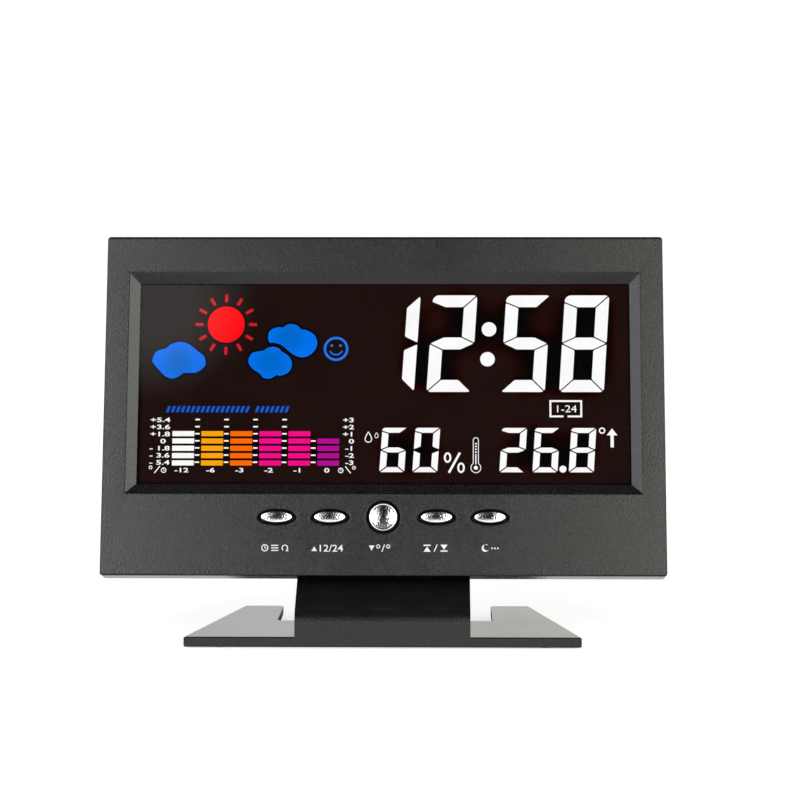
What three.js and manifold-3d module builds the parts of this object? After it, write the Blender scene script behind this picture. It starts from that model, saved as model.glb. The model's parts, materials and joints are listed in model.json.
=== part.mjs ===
// Desk digital clock: a slim tilted head with a wide colour display and five chromed keys, plugged on
// a bent stand. Millimetres, +Z up, +X to the right seen from the front, and the face looks to -Y.
// The origin is on the table, under the middle of the stand.
// Inside the head, places are given as x, w (depth behind the face) and v (height up the face).
import * as THREE from 'three';
import { mergeVertices } from 'three/addons/utils/BufferGeometryUtils.js';
import Module from 'manifold-3d';

const wasm = await Module();
wasm.setup();

// Clearances
const gap = 0.3; // between pieces that seat on or fit into each other
const cut = 1; // how far a cutting solid runs past the face that it opens

// Face of the head, from its lower edge up
const bottomBand = 25.5;
const windowHeight = 63.9;
const topBand = 11.5;
const windowWidth = 154;
const sideBand = 7.2;
const chamferWidth = 3.3;

// Case
const faceWall = 2.5;
const caseWall = 2;
const bezelDepth = 8.5;
const caseCornerRadius = 1.2;
const faceEdgeRadius = 0.5;
const coverShoulder = 0.8; // step in from the bezel to the rear cover
const coverDraft = 0.13; // how much the cover narrows for each millimetre of depth
const coverEdgeRadius = 1.4;
const lipWall = 1.2;
const lipReach = 2.2;

// Place and lean of the head on its stand
const headTilt = 14.3; // degrees
const headSetback = 7.3; // from the front of the stand to the lower edge of the face
const headLift = 21.6; // from the table to the lower edge of the face

// Display stack, front to back
const windowThickness = 1;
const glassThickness = 1.3;
const glassMargin = 2.8;
const rearGlassMargin = 0.5;
const contactLedge = 4;
const guideThickness = 2.7;
const guideMargin = 0.8;
const frameWall = 1.4;
const stripWidth = 2.2;
const stripLength = 140;
const ledWidth = 4;
const ledHeight = 1.4;
const ledDepth = 2.4;
const ledPitch = 45;
const ledCount = 3;

// Main board and what it carries
const boardThickness = 1.6;
const boardWidth = 144;
const boardBottomMargin = 5.5;
const boardTopMargin = 4.5;
const boardPostRadius = 2.1;
const boardScrewRadius = 0.9;
const boardScrewHeadRadius = 1.9;
const boardScrewHeadHeight = 1.6;
const boardScrewLength = 7;
const boardScrewPoint = 1; // length of its tapered end
const lowerPostX = 30;
const lowerPostV = 9.5;
const upperPostX = 64;
const upperPostDrop = 7.3;

// Keys
const keyPitch = 16.5;
const keyRow = 18.2; // height of the key centres above the lower edge of the face
const ovalWidth = 10.3;
const ovalHeight = 3.5;
const roundDiameter = 9;
const keyProud = 1;
const keyDome = 0.6; // rise of the crown of a key
const keyCrown = 1; // how far in from its edge an oval key's crown is rounded
const keyRim = 0.75; // width of the raised rim of the round key
const rimInnerShare = 0.6; // of the rim's width, where its top starts inside
const rimOuterShare = 0.25; // of the rim's width, where its top ends outside
const rimInnerDrop = 0.25; // of the crown's rise, how low the top's inner side lies
const rimOuterDrop = 0.3; // of the crown's rise, how low the top's outer side lies
const keyTravel = 0.8;
const keyFlange = 0.8; // thickness and overhang of the flange that keeps a key in the face
const keyStemRadius = 1.5;
const keyStemLength = 1;
const dishWidth = 1;
const dishDepth = 0.7;

// Tact switches under the keys
const switchSize = 6;
const plungerRadius = 1.75;
const plungerProud = 1.3;
const plungerLength = 2.3;

// Battery bay, cells and sliding door
const cellDiameter = 10.5;
const cellLength = 44.5;
const cellCount = 3;
const cellEdge = 0.6; // bevel at both ends of a cell's jacket
const cellSpacing = 0.5;
const nubRadius = 1.9;
const nubHeight = 1;
const springRoom = 5.6;
const springRadius = 3.1;
const springTipRadius = 1.9;
const springWire = 0.4;
const springTurns = 3;
const contactThickness = 0.4;
const contactWidth = 8;
const tailWidth = 3;
const bayX = -53;
const bayBottom = 8.6;
const bayWall = 1.6;
const bayFloor = 1.2;
const solderRoom = 0.8;
const doorThickness = 2.2;
const doorMargin = 2.2;
const doorEdge = 1.4;
const doorTongue = 1.1;
const tongueThickness = 1.1;
const doorTravel = 8;
const gripCount = 5;
const gripPitch = 2;
const gripWidth = 16;
const gripDepth = 0.5;

// Case screws
const screwRadius = 1.4;
const screwHeadRadius = 2.5;
const screwHeadHeight = 2.2;
const screwLength = 11.6;
const screwPoint = 2; // length of its tapered end
const pointShare = 0.4; // of a screw's radius, at its very end
const headSideShare = 0.6; // of a screw head's height, up to its bevel
const headTopShare = 0.7; // of a screw head's radius, inside its bevel
const recessLongShare = 0.55; // of a screw head's radius, half the length of the driver's cross
const recessThinShare = 0.13; // of a screw head's radius, half the width of the driver's cross
const recessDeepShare = 0.4; // of a screw head's radius, the depth of the driver's cross
const screwInset = 8.5; // from the side of the head
const lowerScrewV = 7.5;
const bossLength = 11.5;
const bossRadius = 2.5;
const wellWall = 1.4;
const seatThickness = 5;

// Electrical parts reached or heard from behind
const jackX = 66;
const jackV = 22;
const jackBase = 9;
const jackBaseDepth = 7.5;
const jackRadius = 3.1;
const jackBore = 1.8;
const jackPin = 0.65;
const jackBoreDepth = 9;
const sliderX = 45;
const sliderV = 34;
const sliderWidth = 9;
const sliderHeight = 5;
const sliderDepth = 7;
const knobWidth = 3;
const knobHeight = 1.8;
const knobTravel = 3;
const knobEngagement = 1.7;
const knobRecess = 1.1; // from the back of the head to the tip of the knob
const knobGrooveWidth = 0.3;
const knobGrooveDepth = 0.4;
const sliderPocketWidth = 15;
const sliderPocketHeight = 8;
const sliderPocketWall = 1.6;
const sensorX = 62;
const sensorV = 78;
const sensorWidth = 7;
const sensorHeight = 5;
const sensorDepth = 2;
const sensorPort = 1; // radius of the opening in its face
const ventCount = 6;
const ventPitch = 4;
const ventLength = 16;
const ventWidth = 1.6;
const buzzerX = 10;
const buzzerV = 72;
const buzzerRadius = 7;
const buzzerDepth = 6.5;
const buzzerHole = 1.2;
const buzzerSlots = 3;
const buzzerSlotLength = 7;
const micX = 24;
const micV = 22;
const micRadius = 3;
const micDepth = 2.8;
const micHole = 1;
const chipX = 12;
const chipV = 45;
const chipRadius = 7;
const chipHeight = 1.6;
const crystalX = -8;
const crystalV = 30;
const crystalRadius = 1;
const crystalLength = 6;

// Stand
const standDepth = 66;
const standFrontWidth = 122;
const standRearWidth = 93.8;
const standThickness = 3.2;
const standEdgeRadius = 0.5;
const standCornerRadius = 0.6;
const notchWidth = 68.6;
const crossbarDepth = 33.9;
const notchCornerRadius = 2;
const neckWidth = 53.8;
const neckThickness = 3;
const neckWallHeight = 7.7; // straight part of the neck above the table, before the bend
const neckBendRadius = 5;
const neckEntry = 1.1; // how far behind the bezel the neck meets the head
const plugWidth = 46;
const plugThickness = 2.6;
const plugLength = 9.5;
const plugOffset = 0.6;
const socketWall = 1.4;
const footRadius = 4.5;
const footHeight = 1.2;
const footProud = 0.5;
const footFrontInset = 11; // from the side of the base to the middle of a front foot
const footRearInset = 5.9; // from the side of the base to the middle of a rear foot
const footEndInset = 7.5; // from the front or rear edge of the base

// Facets round a circle, for small, middling and large ones
const fine = 16;
const medium = 24;
const large = 36;
const cornerSteps = 2; // a corner gets twice this many facets
const ellipseSteps = 12; // an ellipse gets twice this many facets

// Sizes that follow from the ones above
const headWidth = windowWidth + 2 * (chamferWidth + sideBand);
const windowLow = bottomBand + chamferWidth;
const windowHigh = windowLow + windowHeight;
const headHeight = windowHigh + chamferWidth + topBand;
const windowFront = faceWall + gap;
const windowBack = windowFront + windowThickness;
const glassFront = windowBack + gap;
const glassMiddle = glassFront + glassThickness;
const glassBack = glassMiddle + glassThickness;
const guideFront = glassBack + gap;
const guideBack = guideFront + guideThickness;
const boardFront = guideBack + gap;
const boardBack = boardFront + boardThickness;
const boardSeat = boardBack + gap; // where a part soldered on the back of the board starts
const bayFloorFront = boardBack + solderRoom;
const bayFloorBack = bayFloorFront + bayFloor;
const cellAxis = bayFloorBack + gap + cellDiameter / 2;
const doorFront = cellAxis + cellDiameter / 2 + gap;
const headDepth = doorFront + doorThickness;
const coverFront = bezelDepth + gap;
const coverInside = headDepth - caseWall;
const glassHalf = windowWidth / 2 + glassMargin;
const glassTop = windowHigh + glassMargin;
const rearGlassBottom = windowLow - rearGlassMargin;
const glassBottom = rearGlassBottom - contactLedge;
const guideHalf = windowWidth / 2 + guideMargin;
const guideTop = windowHigh + guideMargin;
const guideBottom = windowLow - rearGlassMargin;
const stripCentre = (rearGlassBottom + glassBottom) / 2;
const frameFront = windowFront + keyFlange + keyTravel + gap;
const frameHalf = glassHalf + gap + frameWall;
const keyXs = [-2, -1, 0, 1, 2].map((step) => step * keyPitch);
const keyFlangeFront = faceWall + gap;
const keyFlangeBack = keyFlangeFront + keyFlange;
const keyStemEnd = keyFlangeBack + keyStemLength;
const plungerFront = keyStemEnd + gap;
const switchFront = plungerFront + plungerProud;
const switchBack = boardFront - gap;
const bayWidth = cellCount * cellDiameter + (cellCount - 1) * cellSpacing + 2 * gap;
const bayLength = cellLength + springRoom + 2 * gap + contactThickness;
const bayTop = bayBottom + bayLength;
const cellXs = Array.from({ length: cellCount }, (_, i) => (
  bayX + (i - (cellCount - 1) / 2) * (cellDiameter + cellSpacing)));
const recessHalf = bayWidth / 2 + doorMargin;
const grooveHalf = recessHalf + gap + doorTongue;
const railHalf = grooveHalf + doorEdge;
const recessTop = bayTop + bayWall + doorMargin;
const bossTop = faceWall + bossLength;
const seatFront = bossTop + gap;
const seatBack = seatFront + seatThickness;
const screwX = headWidth / 2 - screwInset;
const upperScrewV = headHeight - upperPostDrop;
const screwPlaces = [-screwX, screwX].flatMap((x) => [[x, lowerScrewV], [x, upperScrewV]]);
const postPlaces = [-1, 1].flatMap((side) => [
  [side * lowerPostX, lowerPostV],
  [side * upperPostX, headHeight - upperPostDrop],
]);
const wellRadius = screwHeadRadius + gap;
const sliderTop = boardSeat + sliderDepth;
const pocketFloorFront = sliderTop + 2 * gap;
const pocketFloorBack = pocketFloorFront + sliderPocketWall;
const standFront = -standDepth / 2;
const headFront = standFront + headSetback;
const standTop = footProud + standThickness;
const plugRootW = bezelDepth + gap + neckEntry;
const plugFront = plugRootW + plugOffset;
const plugBack = plugFront + plugThickness;
const socketTop = plugLength + gap + socketWall + gap;

// Distance from the edge of the face to the outside of the cover at a depth
const coverInset = (w) => coverShoulder + coverDraft * (w - coverFront);

// Materials
const finish = (color, roughness, metalness = 0, opacity = 1) =>
  new THREE.MeshStandardMaterial({ color, roughness, metalness, opacity, transparent: opacity < 1 });
const blackPlastic = finish(0x3e3e40, 0.5);
const standPlastic = finish(0x242426, 0.3);
const clearPlastic = finish(0xdfe4e6, 0.08, 0, 0.25);
const displayGlass = finish(0x1f100e, 0.12);
const diffuserPlastic = finish(0xe9edf0, 0.35);
const whitePlastic = finish(0xe6e6e2, 0.55);
const chrome = finish(0xd6d8da, 0.08, 1);
const boardGreen = finish(0x1f5a35, 0.6);
const blackComponent = finish(0x161618, 0.6);
const rubber = finish(0x1b1b1c, 0.9);
const steel = finish(0xb9bcc0, 0.3, 1);
const cellJacket = finish(0x2c5f9e, 0.4);

// Turns a closed three.js geometry into a solid that can be joined and cut
function solid(geometry) {
  const shell = geometry.index ? geometry.toNonIndexed() : geometry.clone();
  shell.deleteAttribute('normal');
  shell.deleteAttribute('uv');
  const merged = mergeVertices(shell, 1e-4);
  const corners = [];
  for (let i = 0; i < merged.index.count; i += 3) {
    const [a, b, c] = [0, 1, 2].map((k) => merged.index.getX(i + k));
    if (a !== b && b !== c && c !== a) corners.push(a, b, c);
  }
  return new wasm.Manifold(new wasm.Mesh({
    numProp: 3,
    vertProperties: Float32Array.from(merged.attributes.position.array),
    triVerts: Uint32Array.from(corners),
  }));
}

// Joins any number of solids
const join = (...solids) => solids.reduce((whole, next) => whole.add(next));

// Removes any number of solids from the first
const carve = (whole, ...tools) => tools.reduce((rest, tool) => rest.subtract(tool), whole);

// Closed outline with rounded corners, centred at cx, cy
function roundedRect(width, height, radius, cx = 0, cy = 0) {
  const [x, y] = [width / 2 - radius, height / 2 - radius];
  const outline = new THREE.Shape();
  outline.absarc(cx + x, cy + y, radius, 0, Math.PI / 2);
  outline.absarc(cx - x, cy + y, radius, Math.PI / 2, Math.PI);
  outline.absarc(cx - x, cy - y, radius, Math.PI, Math.PI * 1.5);
  outline.absarc(cx + x, cy - y, radius, Math.PI * 1.5, Math.PI * 2);
  return outline;
}

// Closed outline with every corner of a polygon rounded
function roundedPolygon(corners, radii) {
  const outline = new THREE.Shape();
  corners.forEach((corner, i) => {
    const before = corners[(i + corners.length - 1) % corners.length];
    const after = corners[(i + 1) % corners.length];
    const start = corner.clone().add(before.clone().sub(corner).setLength(radii[i]));
    const end = corner.clone().add(after.clone().sub(corner).setLength(radii[i]));
    if (i === 0) outline.moveTo(start.x, start.y);
    else outline.lineTo(start.x, start.y);
    outline.quadraticCurveTo(corner.x, corner.y, end.x, end.y);
  });
  outline.closePath();
  return outline;
}

// The corners of a polygon after each of its sides has moved inwards
function insetCorners(corners, inset) {
  return corners.map((corner, i) => {
    const before = corners[(i + corners.length - 1) % corners.length];
    const after = corners[(i + 1) % corners.length];
    const along = corner.clone().sub(before).normalize();
    const next = after.clone().sub(corner).normalize();
    const turn = along.cross(next);
    return corner.clone().addScaledVector(next.sub(along), inset / turn);
  });
}

function ellipse(width, height, cx = 0, cy = 0) {
  const outline = new THREE.Shape();
  outline.absellipse(cx, cy, width / 2, height / 2, 0, Math.PI * 2);
  return outline;
}

// Slot with round ends
function slot(length, width, cx, cy) {
  const [reach, radius] = [(length - width) / 2, width / 2];
  const outline = new THREE.Shape();
  outline.absarc(cx + reach, cy, radius, -Math.PI / 2, Math.PI / 2);
  outline.absarc(cx - reach, cy, radius, Math.PI / 2, Math.PI * 1.5);
  return outline;
}

const box = (x0, x1, v0, v1) => new THREE.Shape([
  new THREE.Vector2(x0, v0), new THREE.Vector2(x1, v0), new THREE.Vector2(x1, v1), new THREE.Vector2(x0, v1),
]);

// An outline drawn on the face, extruded from one depth to another
function slab(outline, w0, w1, segments = cornerSteps) {
  const geometry = new THREE.ExtrudeGeometry(outline, {
    depth: w1 - w0, bevelEnabled: false, curveSegments: segments,
  });
  return solid(geometry.rotateX(Math.PI / 2).translate(0, w1, 0));
}

const block = (x0, x1, v0, v1, w0, w1) => slab(box(x0, x1, v0, v1), w0, w1, 1);

// A pin or hole along the depth
function rod(x, v, radius, w0, w1, facets = fine) {
  const geometry = new THREE.CylinderGeometry(radius, radius, w1 - w0, facets);
  return solid(geometry.translate(x, (w0 + w1) / 2, v));
}

// A profile of radius and depth pairs, turned about an axis along the depth
function turned(profile, x, v, facets = medium) {
  const points = profile.map(([radius, w]) => new THREE.Vector2(radius, w));
  return solid(new THREE.LatheGeometry(points, facets).translate(x, 0, v));
}

// A closed skin through outlines of equal point count, each at its own depth
function skin(sections, segments) {
  const rings = sections.map(({ outline, w }) => {
    const points = outline.extractPoints(segments).shape;
    if (points[0].distanceTo(points[points.length - 1]) < 1e-6) points.pop();
    return points.map((p) => new THREE.Vector3(p.x, w, p.y));
  });
  const count = rings[0].length;
  const last = (rings.length - 1) * count;
  const flat = sections[0].outline.extractPoints(segments).shape.slice(0, count);
  const triangles = [];
  for (const [a, b, c] of THREE.ShapeUtils.triangulateShape(flat, [])) {
    triangles.push(a, b, c, last + a, last + c, last + b);
  }
  for (let ring = 0; ring < rings.length - 1; ring += 1) {
    for (let i = 0; i < count; i += 1) {
      const [a, b] = [ring * count + i, ring * count + (i + 1) % count];
      triangles.push(a, a + count, b, b, a + count, b + count);
    }
  }
  const geometry = new THREE.BufferGeometry().setFromPoints(rings.flat());
  geometry.setIndex(triangles);
  return geometry;
}

const loft = (sections, segments) => solid(skin(sections, segments));

// The head's outline, drawn in by an inset
const headOutline = (inset) => roundedRect(
  headWidth - 2 * inset, headHeight - 2 * inset, caseCornerRadius, 0, headHeight / 2,
);

// Rounded edge: insets and depths of a quarter ellipse that turns from the side into the end face
const edgeSteps = (insetSize, depthSize, steps) => Array.from({ length: steps + 1 }, (_, i) => {
  const angle = (i / steps) * (Math.PI / 2);
  return { inset: insetSize * (1 - Math.cos(angle)), depth: depthSize * (1 - Math.sin(angle)) };
});

function frontBezel() {
  const shell = loft([
    ...edgeSteps(faceEdgeRadius, faceEdgeRadius, 3).toReversed().map(({ inset, depth }) => (
      { outline: headOutline(inset), w: depth })),
    { outline: headOutline(0), w: bezelDepth },
  ], cornerSteps);
  const cavity = slab(headOutline(caseWall), faceWall, bezelDepth + cut);
  const slope = chamferWidth / faceWall;
  const windowCut = (w) => ({
    outline: box(
      -windowWidth / 2 - slope * (faceWall - w), windowWidth / 2 + slope * (faceWall - w),
      windowLow - slope * (faceWall - w), windowHigh + slope * (faceWall - w),
    ),
    w,
  });
  const opening = loft([windowCut(-cut), windowCut(faceWall + cut / 4)], 1);
  const keyHoles = keyXs.flatMap((x, i) => {
    const [width, height] = keySize(i);
    const hole = slab(ellipse(width + 2 * gap, height + 2 * gap, x, keyRow), -cut, faceWall + cut,
      ellipseSteps);
    const flare = dishWidth / dishDepth;
    const dish = loft([
      { outline: ellipse(width + 2 * (gap + dishWidth + cut * flare),
        height + 2 * (gap + dishWidth + cut * flare), x, keyRow), w: -cut },
      { outline: ellipse(width + 2 * gap, height + 2 * gap, x, keyRow), w: dishDepth },
    ], ellipseSteps);
    return [hole, dish];
  });
  const bosses = screwPlaces.map(([x, v]) => rod(x, v, bossRadius, faceWall - gap, bossTop));
  const bossHoles = screwPlaces.map(([x, v]) => (
    rod(x, v, screwRadius + gap, seatBack + gap - screwLength - gap, bossTop + cut)));
  const posts = postPlaces.map(([x, v]) => rod(x, v, boardPostRadius, faceWall - gap, boardFront - gap));
  const postHoles = postPlaces.map(([x, v]) => (
    rod(x, v, boardScrewRadius + gap, boardSeat - boardScrewLength - gap, boardFront)));
  const tray = carve(shell, cavity, opening, ...keyHoles);
  return carve(join(tray, ...bosses, ...posts), ...bossHoles, ...postHoles);
}

function displayWindow() {
  return block(-glassHalf, glassHalf, glassBottom, glassTop, windowFront, windowBack);
}

function lcdPanel() {
  const front = block(-glassHalf, glassHalf, glassBottom, glassTop, glassFront, glassMiddle);
  const rear = block(-glassHalf, glassHalf, rearGlassBottom, glassTop, glassMiddle - gap, glassBack);
  return join(front, rear);
}

function contactStrip() {
  const half = stripWidth / 2;
  return block(-stripLength / 2, stripLength / 2, stripCentre - half, stripCentre + half,
    glassMiddle + gap, boardFront - gap);
}

const ledXs = Array.from({ length: ledCount }, (_, i) => (i - (ledCount - 1) / 2) * ledPitch);
const ledBottom = guideTop + gap;

function displayFrame() {
  const [low, high] = [glassBottom - gap - frameWall, glassTop + gap + frameWall];
  const back = boardFront - gap;
  const outer = block(-frameHalf, frameHalf, low, high, frameFront, back);
  const glassSeat = block(-glassHalf - gap, glassHalf + gap, glassBottom - gap, glassTop + gap,
    frameFront - cut, glassBack + gap);
  const guideSeat = block(-guideHalf - gap, guideHalf + gap, guideBottom - gap, guideTop + gap,
    glassBack, back + cut);
  const half = stripWidth / 2 + gap;
  const stripSlot = block(-stripLength / 2 - gap, stripLength / 2 + gap, stripCentre - half,
    stripCentre + half, glassBack, back + cut);
  const ledNotches = ledXs.map((x) => block(x - ledWidth / 2 - gap, x + ledWidth / 2 + gap,
    guideTop, ledBottom + ledHeight + gap, glassBack, back + cut));
  return carve(outer, glassSeat, guideSeat, stripSlot, ...ledNotches);
}

function lightGuide() {
  return block(-guideHalf, guideHalf, guideBottom, guideTop, guideFront, guideBack);
}

function led(x) {
  return block(x - ledWidth / 2, x + ledWidth / 2, ledBottom, ledBottom + ledHeight,
    boardFront - gap - ledDepth, boardFront - gap);
}

function mainBoard() {
  const half = boardWidth / 2;
  const notchHalf = plugWidth / 2 + gap + socketWall + 2 * gap;
  const notchTop = socketTop + 2 * gap;
  const board = block(-half, half, boardBottomMargin, headHeight - boardTopMargin, boardFront, boardBack);
  const notch = block(-notchHalf, notchHalf, boardBottomMargin - cut, notchTop, boardFront - cut,
    boardBack + cut);
  const holes = postPlaces.map(([x, v]) => (
    rod(x, v, boardScrewRadius + gap, boardFront - cut, boardBack + cut)));
  return carve(board, notch, ...holes);
}

function tactSwitch(x) {
  const half = switchSize / 2;
  const body = block(x - half, x + half, keyRow - half, keyRow + half, switchFront, switchBack);
  const bore = rod(x, keyRow, plungerRadius + gap, switchFront - cut,
    plungerFront + plungerLength + keyTravel + gap);
  return carve(body, bore);
}

function tactPlunger(x) {
  return rod(x, keyRow, plungerRadius, plungerFront, plungerFront + plungerLength);
}

// Width and height of a key: the middle one is round and the others are oval
const keySize = (i) => (i === 2 ? [roundDiameter, roundDiameter] : [ovalWidth, ovalHeight]);

function ovalKey(x, i) {
  const [width, height] = keySize(i);
  const ring = (inset, w) => ({ outline: ellipse(width - 2 * inset, height - 2 * inset, x, keyRow), w });
  const cap = loft([
    ...edgeSteps(keyCrown, keyDome, 3).toReversed().map(({ inset, depth }) => ring(inset, depth - keyProud)),
    ring(0, keyFlangeFront),
    ring(-keyFlange, keyFlangeFront),
    ring(-keyFlange, keyFlangeBack),
  ], ellipseSteps);
  return join(cap, rod(x, keyRow, keyStemRadius, keyFlangeBack - gap, keyStemEnd));
}

// Crowned middle inside a raised rim
function roundKey(x) {
  const radius = roundDiameter / 2;
  const valley = radius - keyRim;
  const crown = Array.from({ length: 5 }, (_, i) => {
    const share = i / 4;
    return [valley * share, keyDome * share * share - keyProud];
  });
  const profile = [
    ...crown,
    [radius - keyRim * rimInnerShare, -keyProud + keyDome * rimInnerDrop],
    [radius - keyRim * rimOuterShare, -keyProud + keyDome * rimOuterDrop],
    [radius, -keyProud + keyDome],
    [radius, keyFlangeFront],
    [radius + keyFlange, keyFlangeFront],
    [radius + keyFlange, keyFlangeBack],
    [keyStemRadius, keyFlangeBack],
    [keyStemRadius, keyStemEnd],
    [0, keyStemEnd],
  ];
  return turned(profile, x, keyRow, large);
}

function rearCover() {
  const bend = headDepth - coverEdgeRadius;
  const outer = loft([
    { outline: headOutline(coverInset(coverFront)), w: coverFront },
    ...edgeSteps(coverEdgeRadius, coverEdgeRadius, 4).map(({ inset, depth }) => (
      { outline: headOutline(coverInset(bend) + inset), w: headDepth - depth })),
  ], cornerSteps);
  const cavity = loft([
    { outline: headOutline(coverInset(coverFront) + caseWall), w: coverFront - cut },
    { outline: headOutline(coverInset(coverInside) + caseWall), w: coverInside },
  ], cornerSteps);
  const lipOuter = slab(headOutline(caseWall + gap), bezelDepth - lipReach, coverFront + caseWall);
  const lipInner = slab(headOutline(caseWall + gap + lipWall), bezelDepth - lipReach - cut,
    coverFront + caseWall + cut);
  const lip = carve(lipOuter, lipInner);

  const half = bayWidth / 2;
  const padFront = doorFront - gap - bayWall;
  const bay = block(bayX - half - bayWall, bayX + half + bayWall, bayBottom - bayWall, bayTop + bayWall,
    bayFloorFront, coverInside + gap);
  const doorPad = block(bayX - railHalf, bayX + railHalf, 0, recessTop + doorEdge, padFront, headDepth);
  const plugHalf = plugWidth / 2 + gap;
  const socket = block(-plugHalf - socketWall, plugHalf + socketWall, coverInset(coverFront), socketTop,
    coverFront, plugBack + gap + socketWall);
  const wells = screwPlaces.map(([x, v]) => rod(x, v, wellRadius + wellWall, seatFront, coverInside + gap));
  const [pocketX, pocketV] = [sliderPocketWidth / 2, sliderPocketHeight / 2];
  const sliderPocket = block(
    sliderX - pocketX - sliderPocketWall, sliderX + pocketX + sliderPocketWall,
    sliderV - pocketV - sliderPocketWall, sliderV + pocketV + sliderPocketWall,
    pocketFloorFront, coverInside + gap,
  );
  const fittings = join(bay, doorPad, socket, ...wells, sliderPocket).intersect(outer);
  const shell = join(carve(outer, cavity), lip, fittings);

  const bayCut = block(bayX - half, bayX + half, bayBottom, bayTop, bayFloorBack, headDepth + cut);
  const recess = block(bayX - recessHalf, bayX + recessHalf, -cut, recessTop, doorFront - gap,
    headDepth + cut);
  const groove = block(bayX - grooveHalf, bayX + grooveHalf, -cut, recessTop, doorFront - gap,
    doorFront + tongueThickness + gap);
  const tailSlots = tailPlaces().map(([x, v]) => block(x - tailWidth / 2 - gap, x + tailWidth / 2 + gap,
    v - gap, v + contactThickness + gap, bayFloorFront - cut, bayFloorBack + cut));
  const plugCut = block(-plugHalf, plugHalf, -cut, plugLength + 2 * gap, plugFront - gap, plugBack + gap);
  const wellCuts = screwPlaces.flatMap(([x, v]) => [
    rod(x, v, wellRadius, seatBack, headDepth + cut),
    rod(x, v, screwRadius + gap, seatFront - cut, seatBack + cut),
  ]);
  const pocketCut = block(sliderX - pocketX, sliderX + pocketX, sliderV - pocketV, sliderV + pocketV,
    pocketFloorBack, headDepth + cut);
  const knobSlot = block(sliderX - (knobWidth + knobTravel) / 2 - gap,
    sliderX + (knobWidth + knobTravel) / 2 + gap, sliderV - knobHeight / 2 - gap,
    sliderV + knobHeight / 2 + gap, pocketFloorFront - cut, pocketFloorBack + cut);
  const vents = Array.from({ length: ventCount }, (_, i) => {
    const v = sensorV + (i - (ventCount - 1) / 2) * ventPitch;
    return slab(slot(ventLength, ventWidth, sensorX, v),
      coverInside - cut, headDepth + cut);
  });
  const soundSlots = Array.from({ length: buzzerSlots }, (_, i) => {
    const v = buzzerV + (i - (buzzerSlots - 1) / 2) * ventPitch;
    return slab(slot(buzzerSlotLength, ventWidth, buzzerX, v),
      coverInside - cut, headDepth + cut);
  });
  const jackHole = rod(jackX, jackV, jackRadius + gap, coverInside - cut, headDepth + cut, medium);
  const soundHole = rod(micX, micV, micHole, coverInside - cut, headDepth + cut);
  return carve(shell, bayCut, recess, groove, ...tailSlots, plugCut, ...wellCuts, pocketCut, knobSlot,
    ...vents, ...soundSlots, jackHole, soundHole);
}

// A cell along v with its button end up or down; the spring fills the room at the other end
const plateTop = bayTop - gap - contactThickness;
const plateBottom = bayBottom + gap;

function cell(x, buttonUp) {
  const radius = cellDiameter / 2;
  const body = cellLength - nubHeight;
  const profile = [
    [0, 0], [radius - cellEdge, 0], [radius, cellEdge], [radius, body - cellEdge], [radius - cellEdge, body],
    [nubRadius, body], [nubRadius, cellLength], [0, cellLength],
  ].map(([r, y]) => new THREE.Vector2(r, y));
  const geometry = new THREE.LatheGeometry(profile, medium);
  const start = buttonUp ? plateTop - gap - cellLength : plateBottom + contactThickness + gap + cellLength;
  geometry.rotateX(buttonUp ? Math.PI / 2 : -Math.PI / 2).translate(x, cellAxis, start);
  return solid(geometry);
}

// Conical helix that starts in its plate and presses on the flat end of a cell
function contactSpring(x, plate, direction) {
  const length = springRoom - gap - contactThickness;
  class Helix extends THREE.Curve {
    getPoint(t, target = new THREE.Vector3()) {
      const angle = t * springTurns * Math.PI * 2;
      const radius = THREE.MathUtils.lerp(springRadius, springTipRadius, t);
      const rise = (length - springWire) * t;
      return target.set(x + radius * Math.cos(angle), cellAxis + radius * Math.sin(angle),
        plate + direction * rise);
    }
  }
  const wire = new THREE.Shape(Array.from({ length: 5 }, (_, i) => (
    new THREE.Vector2(springWire, 0).rotateAround(new THREE.Vector2(), (i / 5) * Math.PI * 2))));
  return solid(new THREE.ExtrudeGeometry(wire, {
    steps: springTurns * 8, extrudePath: new Helix(), bevelEnabled: false,
  }));
}

// Contact plate across one or two cells, with the springs and the solder tail that it carries
function contactPlate(xs, v, springs, direction, tailX) {
  const half = contactWidth / 2;
  const [first, last] = [Math.min(...xs), Math.max(...xs)];
  const plate = block(first - half, last + half, v, v + contactThickness, cellAxis - half, cellAxis + half);
  const root = direction > 0 ? v + contactThickness : v;
  const pieces = springs.map((x) => contactSpring(x, root, direction));
  if (tailX !== undefined) {
    pieces.push(block(tailX - tailWidth / 2, tailX + tailWidth / 2, v, v + contactThickness,
      boardSeat, cellAxis));
  }
  return join(plate, ...pieces);
}

// Solder tails leave the bay at the free ends of the row of cells
function tailPlaces() {
  return [[cellXs[0], plateTop], [cellXs[cellXs.length - 1], plateBottom]];
}

function batteryDoor() {
  const low = coverInset(headDepth) + coverEdgeRadius;
  const high = recessTop - gap;
  const plate = block(bayX - recessHalf + gap, bayX + recessHalf - gap, low, high, doorFront, headDepth);
  const tongueOut = grooveHalf - gap;
  const tongues = block(bayX - tongueOut, bayX + tongueOut, low, high, doorFront,
    doorFront + tongueThickness);
  const gripTop = high - doorTravel;
  const grips = Array.from({ length: gripCount }, (_, i) => {
    const v = gripTop - i * gripPitch;
    return block(bayX - gripWidth / 2, bayX + gripWidth / 2, v - gripPitch / 4, v + gripPitch / 4,
      headDepth - gripDepth, headDepth + cut);
  });
  return carve(join(plate, tongues), ...grips);
}

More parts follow.
